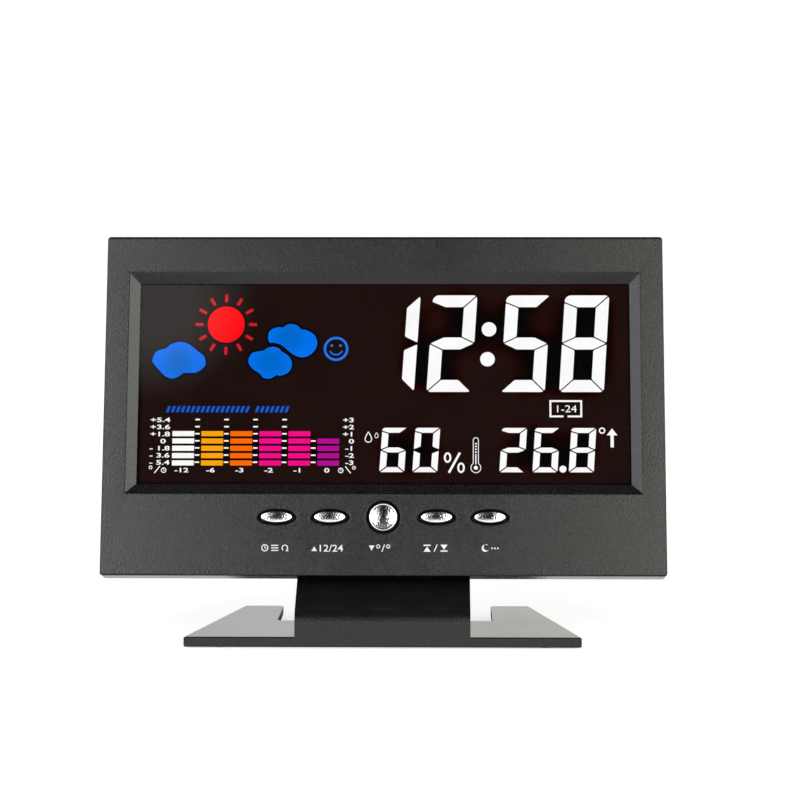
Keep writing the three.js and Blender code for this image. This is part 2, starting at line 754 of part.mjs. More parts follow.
function caseScrew(x, v) {
  const head = seatBack + gap;
  const end = head - screwLength;
  const profile = [
    [0, end], [screwRadius * pointShare, end], [screwRadius, end + screwPoint], [screwRadius, head],
    [screwHeadRadius, head], [screwHeadRadius, head + screwHeadHeight * headSideShare],
    [screwHeadRadius * headTopShare, head + screwHeadHeight], [0, head + screwHeadHeight],
  ];
  return crossRecess(turned(profile, x, v, fine), x, v, head + screwHeadHeight, screwHeadRadius);
}

function boardScrew(x, v) {
  const head = boardSeat;
  const end = head - boardScrewLength;
  const profile = [
    [0, end], [boardScrewRadius * pointShare, end], [boardScrewRadius, end + boardScrewPoint],
    [boardScrewRadius, head], [boardScrewHeadRadius, head],
    [boardScrewHeadRadius, head + boardScrewHeadHeight * headSideShare],
    [boardScrewHeadRadius * headTopShare, head + boardScrewHeadHeight], [0, head + boardScrewHeadHeight],
  ];
  return crossRecess(turned(profile, x, v, 12), x, v, head + boardScrewHeadHeight, boardScrewHeadRadius);
}

// Cross for the driver in the top of a screw head
function crossRecess(screw, x, v, top, radius) {
  const [long, thin] = [radius * recessLongShare, radius * recessThinShare];
  const floor = top - radius * recessDeepShare;
  return carve(screw,
    block(x - long, x + long, v - thin, v + thin, floor, top + cut),
    block(x - thin, x + thin, v - long, v + long, floor, top + cut));
}

function dcJack() {
  const half = jackBase / 2;
  const end = headDepth - gap * 2;
  const base = block(jackX - half, jackX + half, jackV - half, jackV + half, boardSeat,
    boardSeat + jackBaseDepth);
  const barrel = rod(jackX, jackV, jackRadius, boardSeat + jackBaseDepth - gap, end, medium);
  const bore = rod(jackX, jackV, jackBore, end - jackBoreDepth, end + cut);
  const pin = rod(jackX, jackV, jackPin, end - jackBoreDepth - gap, end - gap * 3, 8);
  return join(carve(join(base, barrel), bore), pin);
}

function slideSwitchBody() {
  const [halfX, halfV] = [sliderWidth / 2, sliderHeight / 2];
  const body = block(sliderX - halfX, sliderX + halfX, sliderV - halfV, sliderV + halfV, boardSeat,
    sliderTop);
  const track = block(sliderX - (knobWidth + knobTravel) / 2 - gap,
    sliderX + (knobWidth + knobTravel) / 2 + gap, sliderV - knobHeight / 2 - gap,
    sliderV + knobHeight / 2 + gap, sliderTop - knobEngagement - gap, sliderTop + cut);
  return carve(body, track);
}

function slideSwitchKnob() {
  const left = sliderX - (knobWidth + knobTravel) / 2;
  const tip = headDepth - knobRecess;
  const knob = block(left, left + knobWidth, sliderV - knobHeight / 2, sliderV + knobHeight / 2,
    sliderTop - knobEngagement, tip);
  const half = knobGrooveWidth / 2;
  const grooves = [0.25, 0.5, 0.75].map((share) => {
    const x = left + knobWidth * share;
    return block(x - half, x + half, sliderV - knobHeight, sliderV + knobHeight, tip - knobGrooveDepth,
      tip + cut);
  });
  return carve(knob, ...grooves);
}

function climateSensor() {
  const body = block(sensorX - sensorWidth / 2, sensorX + sensorWidth / 2, sensorV - sensorHeight / 2,
    sensorV + sensorHeight / 2, boardSeat, boardSeat + sensorDepth);
  const port = rod(sensorX, sensorV, sensorPort, boardSeat + sensorDepth / 2,
    boardSeat + sensorDepth + cut);
  return carve(body, port);
}

function buzzer() {
  const can = rod(buzzerX, buzzerV, buzzerRadius, boardSeat, boardSeat + buzzerDepth, medium);
  return carve(can, rod(buzzerX, buzzerV, buzzerHole, boardSeat + buzzerDepth / 2,
    boardSeat + buzzerDepth + cut, 12));
}

function microphone() {
  const can = rod(micX, micV, micRadius, boardSeat, boardSeat + micDepth);
  return carve(can, rod(micX, micV, micHole, boardSeat + micDepth / 2, boardSeat + micDepth + cut, 8));
}

// Blob of resin over the clock chip
function clockChip() {
  const profile = Array.from({ length: 6 }, (_, i) => {
    const angle = (i / 5) * (Math.PI / 2);
    return [chipRadius * Math.cos(angle), boardSeat + chipHeight * Math.sin(angle)];
  });
  return turned([[0, boardSeat], ...profile], chipX, chipV);
}

function crystal() {
  const geometry = new THREE.CylinderGeometry(crystalRadius, crystalRadius, crystalLength, 12);
  return solid(geometry.rotateX(Math.PI / 2).translate(crystalX, boardSeat + crystalRadius, crystalV));
}

// A place in the head, given by depth and height, as y and z on the table
const tilt = THREE.MathUtils.degToRad(headTilt);
const atHead = (w, v) => new THREE.Vector2(
  headFront + w * Math.cos(tilt) + v * Math.sin(tilt),
  headLift - w * Math.sin(tilt) + v * Math.cos(tilt),
);

// A side profile drawn in y and z, extruded across x
function acrossX(profile, width, segments = 5) {
  const geometry = new THREE.ExtrudeGeometry(profile, {
    depth: width, bevelEnabled: false, curveSegments: segments,
  });
  const across = new THREE.Matrix4().makeBasis(
    new THREE.Vector3(0, 1, 0), new THREE.Vector3(0, 0, 1), new THREE.Vector3(1, 0, 0),
  );
  return solid(geometry.applyMatrix4(across).translate(-width / 2, 0, 0));
}

// Neck: a wall flush with the front of the base that bends back and runs straight to the head
function standNeck() {
  const centre = new THREE.Vector2(standFront + neckBendRadius, neckWallHeight);
  const underCover = (w) => atHead(w, coverInset(w) - gap);
  const front = underCover(plugRootW);
  const reach = front.clone().sub(centre);
  const lean = Math.atan2(reach.x, reach.y) + Math.asin(neckBendRadius / reach.length());
  const along = new THREE.Vector2(Math.sin(lean), Math.cos(lean));
  const outward = new THREE.Vector2(-Math.cos(lean), Math.sin(lean));
  const inner = neckBendRadius - neckThickness;
  const innerStart = centre.clone().addScaledVector(outward, inner);
  const seat = underCover(plugRootW + neckThickness).sub(front);
  const offset = front.clone().sub(innerStart);
  const run = offset.cross(seat) / along.cross(seat);
  const innerEnd = innerStart.clone().addScaledVector(along, run);

  const profile = new THREE.Shape();
  profile.moveTo(standFront, footProud + standEdgeRadius);
  profile.lineTo(standFront, neckWallHeight);
  profile.absarc(centre.x, centre.y, neckBendRadius, Math.PI, Math.PI - lean, true);
  profile.lineTo(front.x, front.y);
  profile.lineTo(innerEnd.x, innerEnd.y);
  profile.lineTo(innerStart.x, innerStart.y);
  profile.absarc(centre.x, centre.y, inner, Math.PI - lean, Math.PI, false);
  profile.lineTo(standFront + neckThickness, footProud + standEdgeRadius);
  profile.closePath();

  const plugProfile = new THREE.Shape([
    atHead(plugFront, coverInset(plugFront) - gap * 2),
    atHead(plugBack, coverInset(plugBack) - gap * 2),
    atHead(plugBack, plugLength),
    atHead(plugFront, plugLength),
  ]);
  return join(acrossX(profile, neckWidth), acrossX(plugProfile, plugWidth));
}

const footPlaces = [-1, 1].flatMap((side) => [
  [side * (standFrontWidth / 2 - footFrontInset), standFront + footEndInset],
  [side * (standRearWidth / 2 - footRearInset), -standFront - footEndInset],
]);

function stand() {
  const [frontHalf, rearHalf, notchHalf] = [standFrontWidth / 2, standRearWidth / 2, notchWidth / 2];
  const rear = -standFront;
  const notchFront = standFront + crossbarDepth;
  const corners = [
    [-frontHalf, standFront, standCornerRadius], [frontHalf, standFront, standCornerRadius],
    [rearHalf, rear, standCornerRadius], [notchHalf, rear, standCornerRadius],
    [notchHalf, notchFront, notchCornerRadius], [-notchHalf, notchFront, notchCornerRadius],
    [-notchHalf, rear, standCornerRadius], [-rearHalf, rear, standCornerRadius],
  ];
  const points = corners.map(([x, y]) => new THREE.Vector2(x, y));
  const radii = corners.map(([, , radius]) => radius);
  const edge = edgeSteps(standEdgeRadius, standEdgeRadius, 3);
  const section = (inset, z) => ({ outline: roundedPolygon(insetCorners(points, inset), radii), w: -z });
  const geometry = skin([
    ...edge.toReversed().map(({ inset, depth }) => section(inset, standTop - depth)),
    ...edge.map(({ inset, depth }) => section(inset, footProud + depth)),
  ], 3);
  const base = solid(geometry.rotateX(-Math.PI / 2));
  const pockets = footPlaces.map(([x, y]) => uprightRod(x, y, footRadius + gap, 0, footHeight + gap));
  return carve(join(base, standNeck()), ...pockets);
}

function uprightRod(x, y, radius, z0, z1) {
  const geometry = new THREE.CylinderGeometry(radius, radius, z1 - z0, medium);
  return solid(geometry.rotateX(Math.PI / 2).translate(x, y, (z0 + z1) / 2));
}

// Assembly
const clock = new THREE.Group();
const head = new THREE.Group();
head.position.set(0, headFront, headLift);
head.rotation.x = -tilt;
clock.add(head);

function place(group, name, shape, material) {
  const { vertProperties, triVerts } = shape.getMesh();
  const geometry = new THREE.BufferGeometry();
  geometry.setAttribute('position', new THREE.BufferAttribute(Float32Array.from(vertProperties), 3));
  geometry.setIndex(new THREE.BufferAttribute(Uint32Array.from(triVerts), 1));
  const mesh = new THREE.Mesh(geometry, material);
  mesh.name = name;
  group.add(mesh);
}

place(head, 'front_bezel', frontBezel(), blackPlastic);
place(head, 'display_window', displayWindow(), clearPlastic);
place(head, 'lcd_panel', lcdPanel(), displayGlass);
place(head, 'lcd_contact_strip', contactStrip(), rubber);
place(head, 'display_frame', displayFrame(), whitePlastic);
place(head, 'light_guide', lightGuide(), diffuserPlastic);
ledXs.forEach((x, i) => place(head, `backlight_led_${i + 1}`, led(x), whitePlastic));
place(head, 'main_board', mainBoard(), boardGreen);
place(head, 'clock_chip', clockChip(), blackComponent);
place(head, 'clock_crystal', crystal(), steel);

const keyNames = ['menu_key', 'up_key', 'down_key', 'memory_key', 'snooze_key'];
keyNames.forEach((name, i) => {
  const x = keyXs[i];
  place(head, name, i === 2 ? roundKey(x) : ovalKey(x, i), chrome);
  place(head, `tact_plunger_${i + 1}`, tactPlunger(x), blackComponent);
  place(head, `tact_switch_${i + 1}`, tactSwitch(x), blackComponent);
});

place(head, 'buzzer', buzzer(), blackComponent);
place(head, 'microphone', microphone(), steel);
place(head, 'climate_sensor', climateSensor(), whitePlastic);
place(head, 'dc_jack', dcJack(), blackComponent);
place(head, 'slide_switch_body', slideSwitchBody(), steel);
place(head, 'slide_switch_knob', slideSwitchKnob(), blackComponent);
place(head, 'rear_cover', rearCover(), blackPlastic);
place(head, 'battery_door', batteryDoor(), blackPlastic);

const [cellA, cellB, cellC] = cellXs;
cellXs.forEach((x, i) => place(head, `battery_${i + 1}`, cell(x, i % 2 === 0), cellJacket));
place(head, 'contact_positive', contactPlate([cellA], plateTop, [], -1, cellA), steel);
place(head, 'contact_link_lower', contactPlate([cellA, cellB], plateBottom, [cellA], 1), steel);
place(head, 'contact_link_upper', contactPlate([cellB, cellC], plateTop, [cellB], -1), steel);
place(head, 'contact_negative', contactPlate([cellC], plateBottom, [cellC], 1, cellC), steel);

screwPlaces.forEach(([x, v], i) => place(head, `case_screw_${i + 1}`, caseScrew(x, v), steel));
postPlaces.forEach(([x, v], i) => place(head, `board_screw_${i + 1}`, boardScrew(x, v), steel));

place(clock, 'stand', stand(), standPlastic);
footPlaces.forEach(([x, y], i) => (
  place(clock, `rubber_foot_${i + 1}`, uprightRod(x, y, footRadius, 0, footHeight), rubber)));

export default clock;
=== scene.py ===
"""Desk digital clock with a wide colour display, dressed piece by piece in the order of its assembly.
Metres, +Z up, the face looks to -Y. Sizes on the head are in millimetres: x, depth behind the face and
height up the face."""
import json
import math

import bmesh
import bpy
import numpy as np
from mathutils import Matrix, Vector
from mathutils.geometry import tessellate_polygon


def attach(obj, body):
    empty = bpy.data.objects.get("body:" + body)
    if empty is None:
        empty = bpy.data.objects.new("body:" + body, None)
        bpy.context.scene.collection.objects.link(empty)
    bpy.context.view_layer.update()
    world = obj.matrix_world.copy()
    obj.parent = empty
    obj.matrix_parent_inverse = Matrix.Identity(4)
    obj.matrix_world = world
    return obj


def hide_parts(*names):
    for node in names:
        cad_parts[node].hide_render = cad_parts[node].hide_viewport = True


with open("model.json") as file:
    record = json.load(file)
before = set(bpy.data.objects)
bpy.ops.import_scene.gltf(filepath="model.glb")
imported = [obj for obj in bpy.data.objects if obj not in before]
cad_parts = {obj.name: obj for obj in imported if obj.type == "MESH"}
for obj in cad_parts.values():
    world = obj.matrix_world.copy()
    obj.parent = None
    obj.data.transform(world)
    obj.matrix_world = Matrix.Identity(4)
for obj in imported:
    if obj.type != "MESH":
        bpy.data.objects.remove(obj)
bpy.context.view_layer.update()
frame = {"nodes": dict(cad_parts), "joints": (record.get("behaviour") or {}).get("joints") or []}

scene = bpy.context.scene
scene.view_settings.view_transform = "Standard"

# Camera
# A long lens, level with the top of the display and nearly square to the clock.


def placed(name, data):
    """A new object in the scene."""
    made = bpy.data.objects.new(name, data)
    scene.collection.objects.link(made)
    return made


camera = placed("camera", bpy.data.cameras.new("camera"))
camera.data.sensor_width = 36.0
camera.data.lens = 114.0
camera.location = (0.0180, -0.800, 0.1266)
camera.rotation_euler = (math.radians(90 - 3.75), 0.0, math.radians(0.942))
scene.camera = camera

# Floor and studio light
# The clock stands on a white sheet between two tall softboxes, in front of a white wall. The studio is
# dark behind and above the camera, so the display stays black and the chrome shows both.


def add(tree, kind, sockets=None, **settings):
    """A node with its settings, whose sockets are given values or linked to other sockets."""
    node = tree.nodes.new(kind)
    for name, value in settings.items():
        setattr(node, name, value)
    for name, value in (sockets or {}).items():
        if isinstance(value, bpy.types.NodeSocket):
            tree.links.new(value, node.inputs[name])
        else:
            node.inputs[name].default_value = value
    return node


def tree_of(*values):
    """The node tree of the first socket among values."""
    return next(value.id_data for value in values if isinstance(value, bpy.types.NodeSocket))


def calc(operation, a, b=0.0):
    """Arithmetic of two values, in the tree of a socket among them."""
    return add(tree_of(a, b), "ShaderNodeMath", {0: a, 1: b}, operation=operation).outputs[0]


def times(a, b):
    return calc("MULTIPLY", a, b)


def plus(a, b):
    return calc("ADD", a, b)


def minus(a, b):
    return calc("SUBTRACT", a, b)


def most(*values):
    """The largest of several values."""
    found = values[0]
    for value in values[1:]:
        found = calc("MAXIMUM", found, value)
    return found


def step(value, start, end, low=0.0, high=1.0):
    """Smooth step from low to high as the value goes from start to end."""
    sockets = {"Value": value, "From Min": start, "From Max": end, "To Min": low, "To Max": high}
    return add(value.id_data, "ShaderNodeMapRange", sockets, interpolation_type="SMOOTHSTEP").outputs[0]


def vector(tree, **parts):
    return add(tree, "ShaderNodeCombineXYZ", parts).outputs[0]


def measure(operation, *vectors):
    """A number from one vector or two."""
    sockets = dict(enumerate(vectors))
    return add(tree_of(*vectors), "ShaderNodeVectorMath", sockets, operation=operation).outputs["Value"]


def blend(kind, share, a, b):
    """Two colours blended by a share."""
    sockets = {"Factor": share, 6: a, 7: b}
    return add(tree_of(share, a, b), "ShaderNodeMix", sockets, data_type="RGBA", blend_type=kind).outputs[2]


def blank(kind, name):
    """A new material or world, and its empty node tree."""
    made = kind.new(name)
    made.use_nodes = True
    made.node_tree.nodes.clear()
    return made, made.node_tree


def own_place(tree):
    return add(tree, "ShaderNodeTexCoord").outputs["Object"]


wall_level, ceiling_level = 1.08, 0.03
near_left, near_right = 7.2, 6.15
far_left, far_right = 1.7, 3.0
gap_level, dark_level, low_level, overhead_level, glare_level = 0.12, 0.012, 0.06, 0.16, 0.52
flag_share = 0.9
cool, warm, white = (0.98, 1.0, 1.04, 1), (1.0, 1.0, 0.9, 1), (1, 1, 1, 1)
studio, tree = blank(bpy.data.worlds, "studio")
scene.world = studio
toward = add(tree, "ShaderNodeSeparateXYZ", {
    "Vector": add(tree, "ShaderNodeTexCoord").outputs["Generated"]}).outputs
across, rise = toward["X"], toward["Z"]
aside = calc("ABSOLUTE", across)
# Two panels stand close beside the camera, and the display mirrors the dark between them
from_middle = calc("ABSOLUTE", plus(across, 0.025))
near = times(times(step(from_middle, 0.1, 0.145), step(from_middle, 0.30, 0.40, 1.0, 0.0)),
             step(across, -0.1, 0.1, near_left, near_right))
far = times(step(aside, 0.76, 0.86), step(across, -0.5, 0.5, far_left, far_right))
gap = times(step(from_middle, 0.099, 0.135), gap_level)
overhead = most(step(rise, 0.5, 0.65, dark_level, overhead_level),
                step(rise, 0.30, 0.38, low_level, dark_level))
# A faint spill of the left panel, which the display mirrors in its upper left corner
spill = measure("LENGTH", vector(
    tree, X=most(plus(across, 0.118), 0.0), Y=most(times(minus(0.458, rise), 1.12), 0.0)))
glare = step(spill, 0.016, 0.05, glare_level, 0.0)
panels = times(most(near, far, gap, overhead, glare), step(rise, 0.35, 0.78, 1.0, 0.03))
in_front = times(step(rise, 0.13, 0.28), step(toward["Y"], 0.4, -0.1))
height_level = step(rise, 0.22, 0.62, wall_level, ceiling_level)
level = plus(times(panels, in_front), times(height_level, minus(1.0, in_front)))
# Black flags at both sides draw the dark outlines of the case
flags = times(step(aside, 0.45, 0.75), step(toward["Y"], -0.12, 0.1))
level = times(level, minus(1.0, times(flags, flag_share)))
seen = add(tree, "ShaderNodeLightPath").outputs["Is Camera Ray"]
tint = blend("MIX", seen, blend("MIX", step(across, -0.25, 0.2), cool, warm), white)
sky = add(tree, "ShaderNodeBackground", {"Color": tint, "Strength": most(level, seen)})
add(tree, "ShaderNodeOutputWorld", {"Surface": sky.outputs[0]})

for side in (-1, 1):
    softbox = bpy.data.lights.new(f"softbox_{'right' if side > 0 else 'left'}", "AREA")
    softbox.shape = "RECTANGLE"
    softbox.size = 0.5
    softbox.size_y = 0.9
    softbox.energy = 2.0
    lamp = placed(softbox.name, softbox)
    lamp.location = (side * 0.78, -0.38, 0.36)
    lamp.rotation_euler = (Vector((0, 0, 0.08)) - lamp.location).to_track_quat("-Z", "Y").to_euler()
    lamp.visible_camera = False

floor_half = 8.0
near_lift, far_lift, mirrored_level = 0.74, 0.8, 0.66
sheet, tree = blank(bpy.data.materials, "white_sheet")
paper = add(tree, "ShaderNodeBsdfDiffuse", {"Color": (0.86, 0.86, 0.86, 1)})
rays = add(tree, "ShaderNodeLightPath").outputs
place = own_place(tree)
from_clock = measure("LENGTH", place)
# In the clock's mirroring surfaces the sheet glows, but below and close behind the clock it is left dark: a
# painted shadow of the clock
spot = add(tree, "ShaderNodeSeparateXYZ", {"Vector": place}).outputs
aside = calc("ABSOLUTE", spot["X"])
sheet_outside_painted_shadow = most(step(spot["Y"], -0.082, -0.122), step(from_clock, 0.12, 0.2),
                  times(step(aside, 0.07, 0.062), step(spot["Y"], -0.03, -0.038)),
                  times(step(aside, 0.04, 0.054), step(spot["Y"], 0.0, 0.015)))
mirrored_lift = times(rays["Is Glossy Ray"], times(sheet_outside_painted_shadow, mirrored_level))
seen_lift = times(most(rays["Is Camera Ray"], rays["Is Transmission Ray"]),
                  step(from_clock, 0.15, 0.8, near_lift, far_lift))
lift = add(tree, "ShaderNodeEmission", {"Color": white, "Strength": most(seen_lift, mirrored_lift)})
both = add(tree, "ShaderNodeAddShader", {0: paper.outputs[0], 1: lift.outputs[0]})
add(tree, "ShaderNodeOutputMaterial", {"Surface": both.outputs[0]})
mesh = bpy.data.meshes.new("floor")
mesh.from_pydata([(x * floor_half, y * floor_half, 0) for x, y in ((-1, -1), (1, -1), (1, 1), (-1, 1))],
                 [], [(0, 1, 2, 3)])
mesh.materials.append(sheet)
placed("floor", mesh)

# Front bezel
# One moulding in charcoal ABS with a fine spark-eroded grain: the face with its chamfered display opening
# and dished key holes, a shallow wall round it, and the bosses and posts behind that take the screws.
mm = 0.001
into = Vector(next(j["axis"] for j in frame["joints"] if j["name"] == "menu_key_press"))
up = Vector((0.0, -into.z, into.y))
bezel_points = [v.co for v in frame["nodes"]["front_bezel"].data.vertices]
foot = into * min(p.dot(into) for p in bezel_points) + up * min(p.dot(up) for p in bezel_points)
# Takes x, depth and height on the head, in millimetres, to the frame
on_head = Matrix.Translation(foot) @ Matrix(
    ((1, 0, 0), (0, into.y, up.y), (0, into.z, up.z))).to_4x4() @ Matrix.Scale(mm, 4)
from_frame = on_head.inverted()


def head_box(node):
    """Lowest and highest x, depth and height of a CAD node of the head."""
    places = np.array([from_frame @ v.co for v in frame["nodes"][node].data.vertices])
    return Vector(places.min(0)), Vector(places.max(0))


def middle_of(node):
    """Middle x and height of a CAD node of the head, and its width and height."""
    low, high = head_box(node)
    return (low.x + high.x) / 2, (low.z + high.z) / 2, high.x - low.x, high.z - low.z


def arc(x, v, radius, start, end, steps=20):
    turns = [math.radians(start + (end - start) * k / steps) for k in range(steps + 1)]
    return [(x + radius * math.cos(a), v + radius * math.sin(a)) for a in turns]


def rounded(x0, x1, v0, v1, radius, steps=6):
    """Rectangle with rounded corners, as x and v."""
    loop = []
    for quadrant in range(4):
        x = x1 - radius if quadrant in (0, 3) else x0 + radius
        v = v1 - radius if quadrant in (0, 1) else v0 + radius
        loop += arc(x, v, radius, 90 * quadrant, 90 * quadrant + 90, steps)
    return loop


def oval(x, v, width, height, steps=72):
    turns = [2 * math.pi * k / steps for k in range(steps)]
    return [(x + width / 2 * math.cos(a), v + height / 2 * math.sin(a)) for a in turns]


def disc(x, v, radius, steps=40):
    return oval(x, v, 2 * radius, 2 * radius, steps)


def quarter(across, deep, steps=5):
    """Rounded edge that turns from a face into a side: pairs of inset and depth."""
    turns = [math.pi / 2 * k / steps for k in range(steps + 1)]
    return [(across * (1 - math.sin(a)), deep * (1 - math.cos(a))) for a in turns]


class Skin:
    """A closed skin put together from rings of points. A ring's depth is a number or a rule of x and v."""

    def __init__(self):
        self.points = []
        self.faces = []

    def ring(self, loop, w):
        start = len(self.points)
        self.points += [(x, w(x, v) if callable(w) else w, v) for x, v in loop]
        return list(range(start, len(self.points)))

    def strip(self, one, two):
        self.faces += zip(one, one[1:] + one[:1], two[1:] + two[:1], two)

    def wall(self, *levels):
        """Strips through loops at their depths. Returns the first and the last ring."""
        rings = [self.ring(loop, w) for loop, w in levels]
        for one, two in zip(rings, rings[1:]):
            self.strip(one, two)
        return rings[0], rings[-1]

    def fill(self, *rings):
        """Flat face inside the first ring, open at the others."""
        outlines = [[Vector((self.points[k][0], self.points[k][2], 0)) for k in r] for r in rings]
        order = [k for r in rings for k in r]
        self.faces += [tuple(order[k] for k in corner) for corner in tessellate_polygon(outlines)]


def knit(mesh, parts, reach):
    """Joins parts into a mesh, with points within reach of each other merged and faces turned outwards."""
    work = bmesh.new()
    for part in parts:
        work.from_mesh(part)
    bmesh.ops.remove_doubles(work, verts=work.verts, dist=reach)
    bmesh.ops.recalc_face_normals(work, faces=work.faces)
    work.to_mesh(mesh)
    work.free()


def shaded(name, mesh, material, sharp):
    """A piece from a mesh in one material, its round forms shaded smooth and its edges cleanly."""
    mesh.materials.clear()
    mesh.materials.append(material)
    mesh.shade_smooth()
    mesh.set_sharp_from_angle(angle=math.radians(sharp))
    return placed(name, mesh)


def even(piece):
    piece.modifiers.new("even_shading", "WEIGHTED_NORMAL").keep_sharp = True


def build(name, skin, material, sharp=32.0):
    """A piece from a skin in millimetres on the head."""
    made = bpy.data.meshes.new(name)
    made.from_pydata(skin.points, [], skin.faces)
    made.transform(on_head)
    knit(made, [made], 1e-7)
    piece = shaded(name, made, material, sharp)
    even(piece)
    return piece


def hand_over(piece, slot, *nodes, body="housing"):
    """Attaches a piece to its body, and hides the CAD nodes that it stands for. The slot is not used."""
    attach(piece, body)
    if nodes:
        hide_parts(*nodes)


def srgb(red, green, blue):
    """Linear colour from the usual 0 to 255 values."""
    parts = [c / 255 for c in (red, green, blue)]
    return tuple(c / 12.92 if c <= 0.04045 else ((c + 0.055) / 1.055) ** 2.4 for c in parts) + (1.0,)


def noise(place, scale, detail=2.0, roughness=0.5):
    return add(place.id_data, "ShaderNodeTexNoise", {
        "Vector": place, "Scale": scale, "Detail": detail, "Roughness": roughness}).outputs["Fac"]


def node_group(name, kind, inputs, outputs):
    """A node group with named inputs and outputs, and the sockets that its inputs arrive at."""
    group = bpy.data.node_groups.new(name, kind)
    for label, sort, value in inputs:
        socket = group.interface.new_socket(name=label, in_out="INPUT", socket_type=f"NodeSocket{sort}")
        if value is not None:
            socket.default_value = value
    for label, sort in outputs:
        group.interface.new_socket(name=label, in_out="OUTPUT", socket_type=f"NodeSocket{sort}")
    return group, add(group, "NodeGroupInput").outputs


def shade(tree, sockets):
    """Ends a material's tree with its shader."""
    shader = add(tree, "ShaderNodeBsdfPrincipled", sockets)
    add(tree, "ShaderNodeOutputMaterial", {"Surface": shader.outputs[0]})


def finished(name, group, colour, relief=0.00001, specular=0.5, metallic=0.0, **values):
    """A material with a group's colour, roughness and relief, whose lengths are in metres."""
    made, tree = blank(bpy.data.materials, name)
    sockets = {label.capitalize(): value for label, value in values.items()}
    skin = add(tree, "ShaderNodeGroup", {"Colour": colour, **sockets}, node_tree=group).outputs
    bump = add(tree, "ShaderNodeBump", {"Height": skin["Height"], "Distance": relief, "Strength": 1.0})
    shade(tree, {"Base Color": skin["Colour"], "Roughness": skin["Roughness"], "Metallic": metallic,
                 "Specular IOR Level": specular, "Normal": bump.outputs["Normal"]})
    return made


# Grain of a moulded surface: eroded speckle, slow drift of the pigment, and edges made paler, partly as wear
# and partly as a painted highlight
skin_outputs = (("Colour", "Color"), ("Roughness", "Float"), ("Height", "Float"))
moulded_grain, given = node_group("moulded_grain", "ShaderNodeTree", [
    ("Colour", "Color", (0.02, 0.02, 0.02, 1)), ("Grain", "Float", 0.0004), ("Speckle", "Float", 0.1),
    ("Drift", "Float", 0.1), ("Roughness", "Float", 0.5), ("Rubbed", "Float", 0.0), ("Dull", "Float", 0.0)],
    skin_outputs)
place = own_place(moulded_grain)
eroded = noise(place, calc("DIVIDE", 1.0, given["Grain"]), 2.0, 0.55)
speck = step(eroded, 0.34, 0.66, -0.5, 0.5)
drifted = minus(noise(place, 38.0, 3.0), 0.5)
tone = plus(1.0, plus(times(speck, given["Speckle"]), times(drifted, given["Drift"])))
toned = add(moulded_grain, "ShaderNodeVectorMath", {0: given["Colour"], "Scale": tone},
            operation="SCALE").outputs["Vector"]
# The bevel normal finds the edges, which are lightened: part wear, part painted edge highlight
bent = add(moulded_grain, "ShaderNodeBevel", {"Radius": 0.0004}, samples=4).outputs["Normal"]
agree = measure("DOT_PRODUCT", bent, add(moulded_grain, "ShaderNodeNewGeometry").outputs["Normal"])
worn_and_highlit = blend("MIX", times(step(agree, 0.995, 0.85), given["Rubbed"]), toned, (0.16, 0.16, 0.165, 1))
uneven = minus(times(drifted, 0.12), times(speck, given["Dull"]))
add(moulded_grain, "NodeGroupOutput", {
    "Colour": worn_and_highlit, "Roughness": plus(given["Roughness"], uneven), "Height": eroded})


def moulded(name, colour, **values):
    return finished(name, moulded_grain, colour, **values)


case_plastic = moulded("case_plastic", srgb(26, 26, 27), grain=0.00042, speckle=1.6, drift=0.14,
                       roughness=0.18, relief=0.00004, specular=0.42, dull=0.07)
face_wall, case_wall, bezel_depth = 2.5, 2.0, 8.5
corner_radius = 1.0
face_edge, top_edge_share = 0.5, 1.7
lip = 0.15
chamfer_width = 3.3
opening_half, opening_low, opening_high, opening_radius = 77.0, 28.8, 92.7, 0.25
key_gap, key_flange = 0.14, 0.8
bore_start = 3.6
head_half, _, head_height = head_box("front_bezel")[1]


def head_outline(inset, ease=1.0):
    """The head's outline, moved inwards. Its upper edge may be eased more than the others."""
    return rounded(inset - head_half, head_half - inset, inset, head_height - inset * ease, corner_radius)


def opening(spread):
    return rounded(-opening_half - spread, opening_half + spread, opening_low - spread,
                   opening_high + spread, opening_radius)


bezel = Skin()
face_edge_ring, rim = bezel.wall(
    *[(head_outline(inset, top_edge_share), w) for inset, w in quarter(face_edge, face_edge)],
    (head_outline(0), bezel_depth - lip), (head_outline(lip), bezel_depth),
    (head_outline(case_wall), bezel_depth), (head_outline(case_wall), face_wall))
# Soft outer edge of the chamfer, its slope, and a soft inner edge
slope = face_wall / chamfer_width
chamfer = ((chamfer_width + 0.22, 0.0), (chamfer_width + 0.09, 0.025), (chamfer_width - 0.04, 0.09),
           (chamfer_width - 0.2, 0.2 * slope), (0.1, face_wall - 0.1 * slope - 0.03), (0.0, face_wall))
opening_ring, opening_back = bezel.wall(*[(opening(spread), w) for spread, w in chamfer])
front_holes, back_holes = [opening_ring], [opening_back]
# A shallow dish falls steeply away round each key, wider round the oval ones
dish = ((1.18, 0.88, 0.0), (1.04, 0.78, 0.02), (0.84, 0.64, 0.09), (0.66, 0.5, 0.22), (0.5, 0.38, 0.46),
        (0.36, 0.28, 0.8), (0.22, 0.18, 1.15), (0.1, 0.09, 1.4), (0.03, 0.03, 1.52), (0.0, 0.0, 1.6))
round_spread, oval_spread = 2.0, 2.36
key_names = ["menu_key", "up_key", "down_key", "memory_key", "snooze_key"]
round_key = "down_key"
keys = {name: middle_of(name) for name in key_names}
for name, (x, v, *flange) in keys.items():
    width, height = (side - 2 * key_flange + 2 * key_gap for side in flange)
    spread = round_spread if name == round_key else oval_spread
    front, back = bezel.wall(
        *[(oval(x, v, width + spread * aside, height + spread * above), w) for aside, above, w in dish],
        (oval(x, v, width, height), face_wall))
    front_holes.append(front)
    back_holes.append(back)
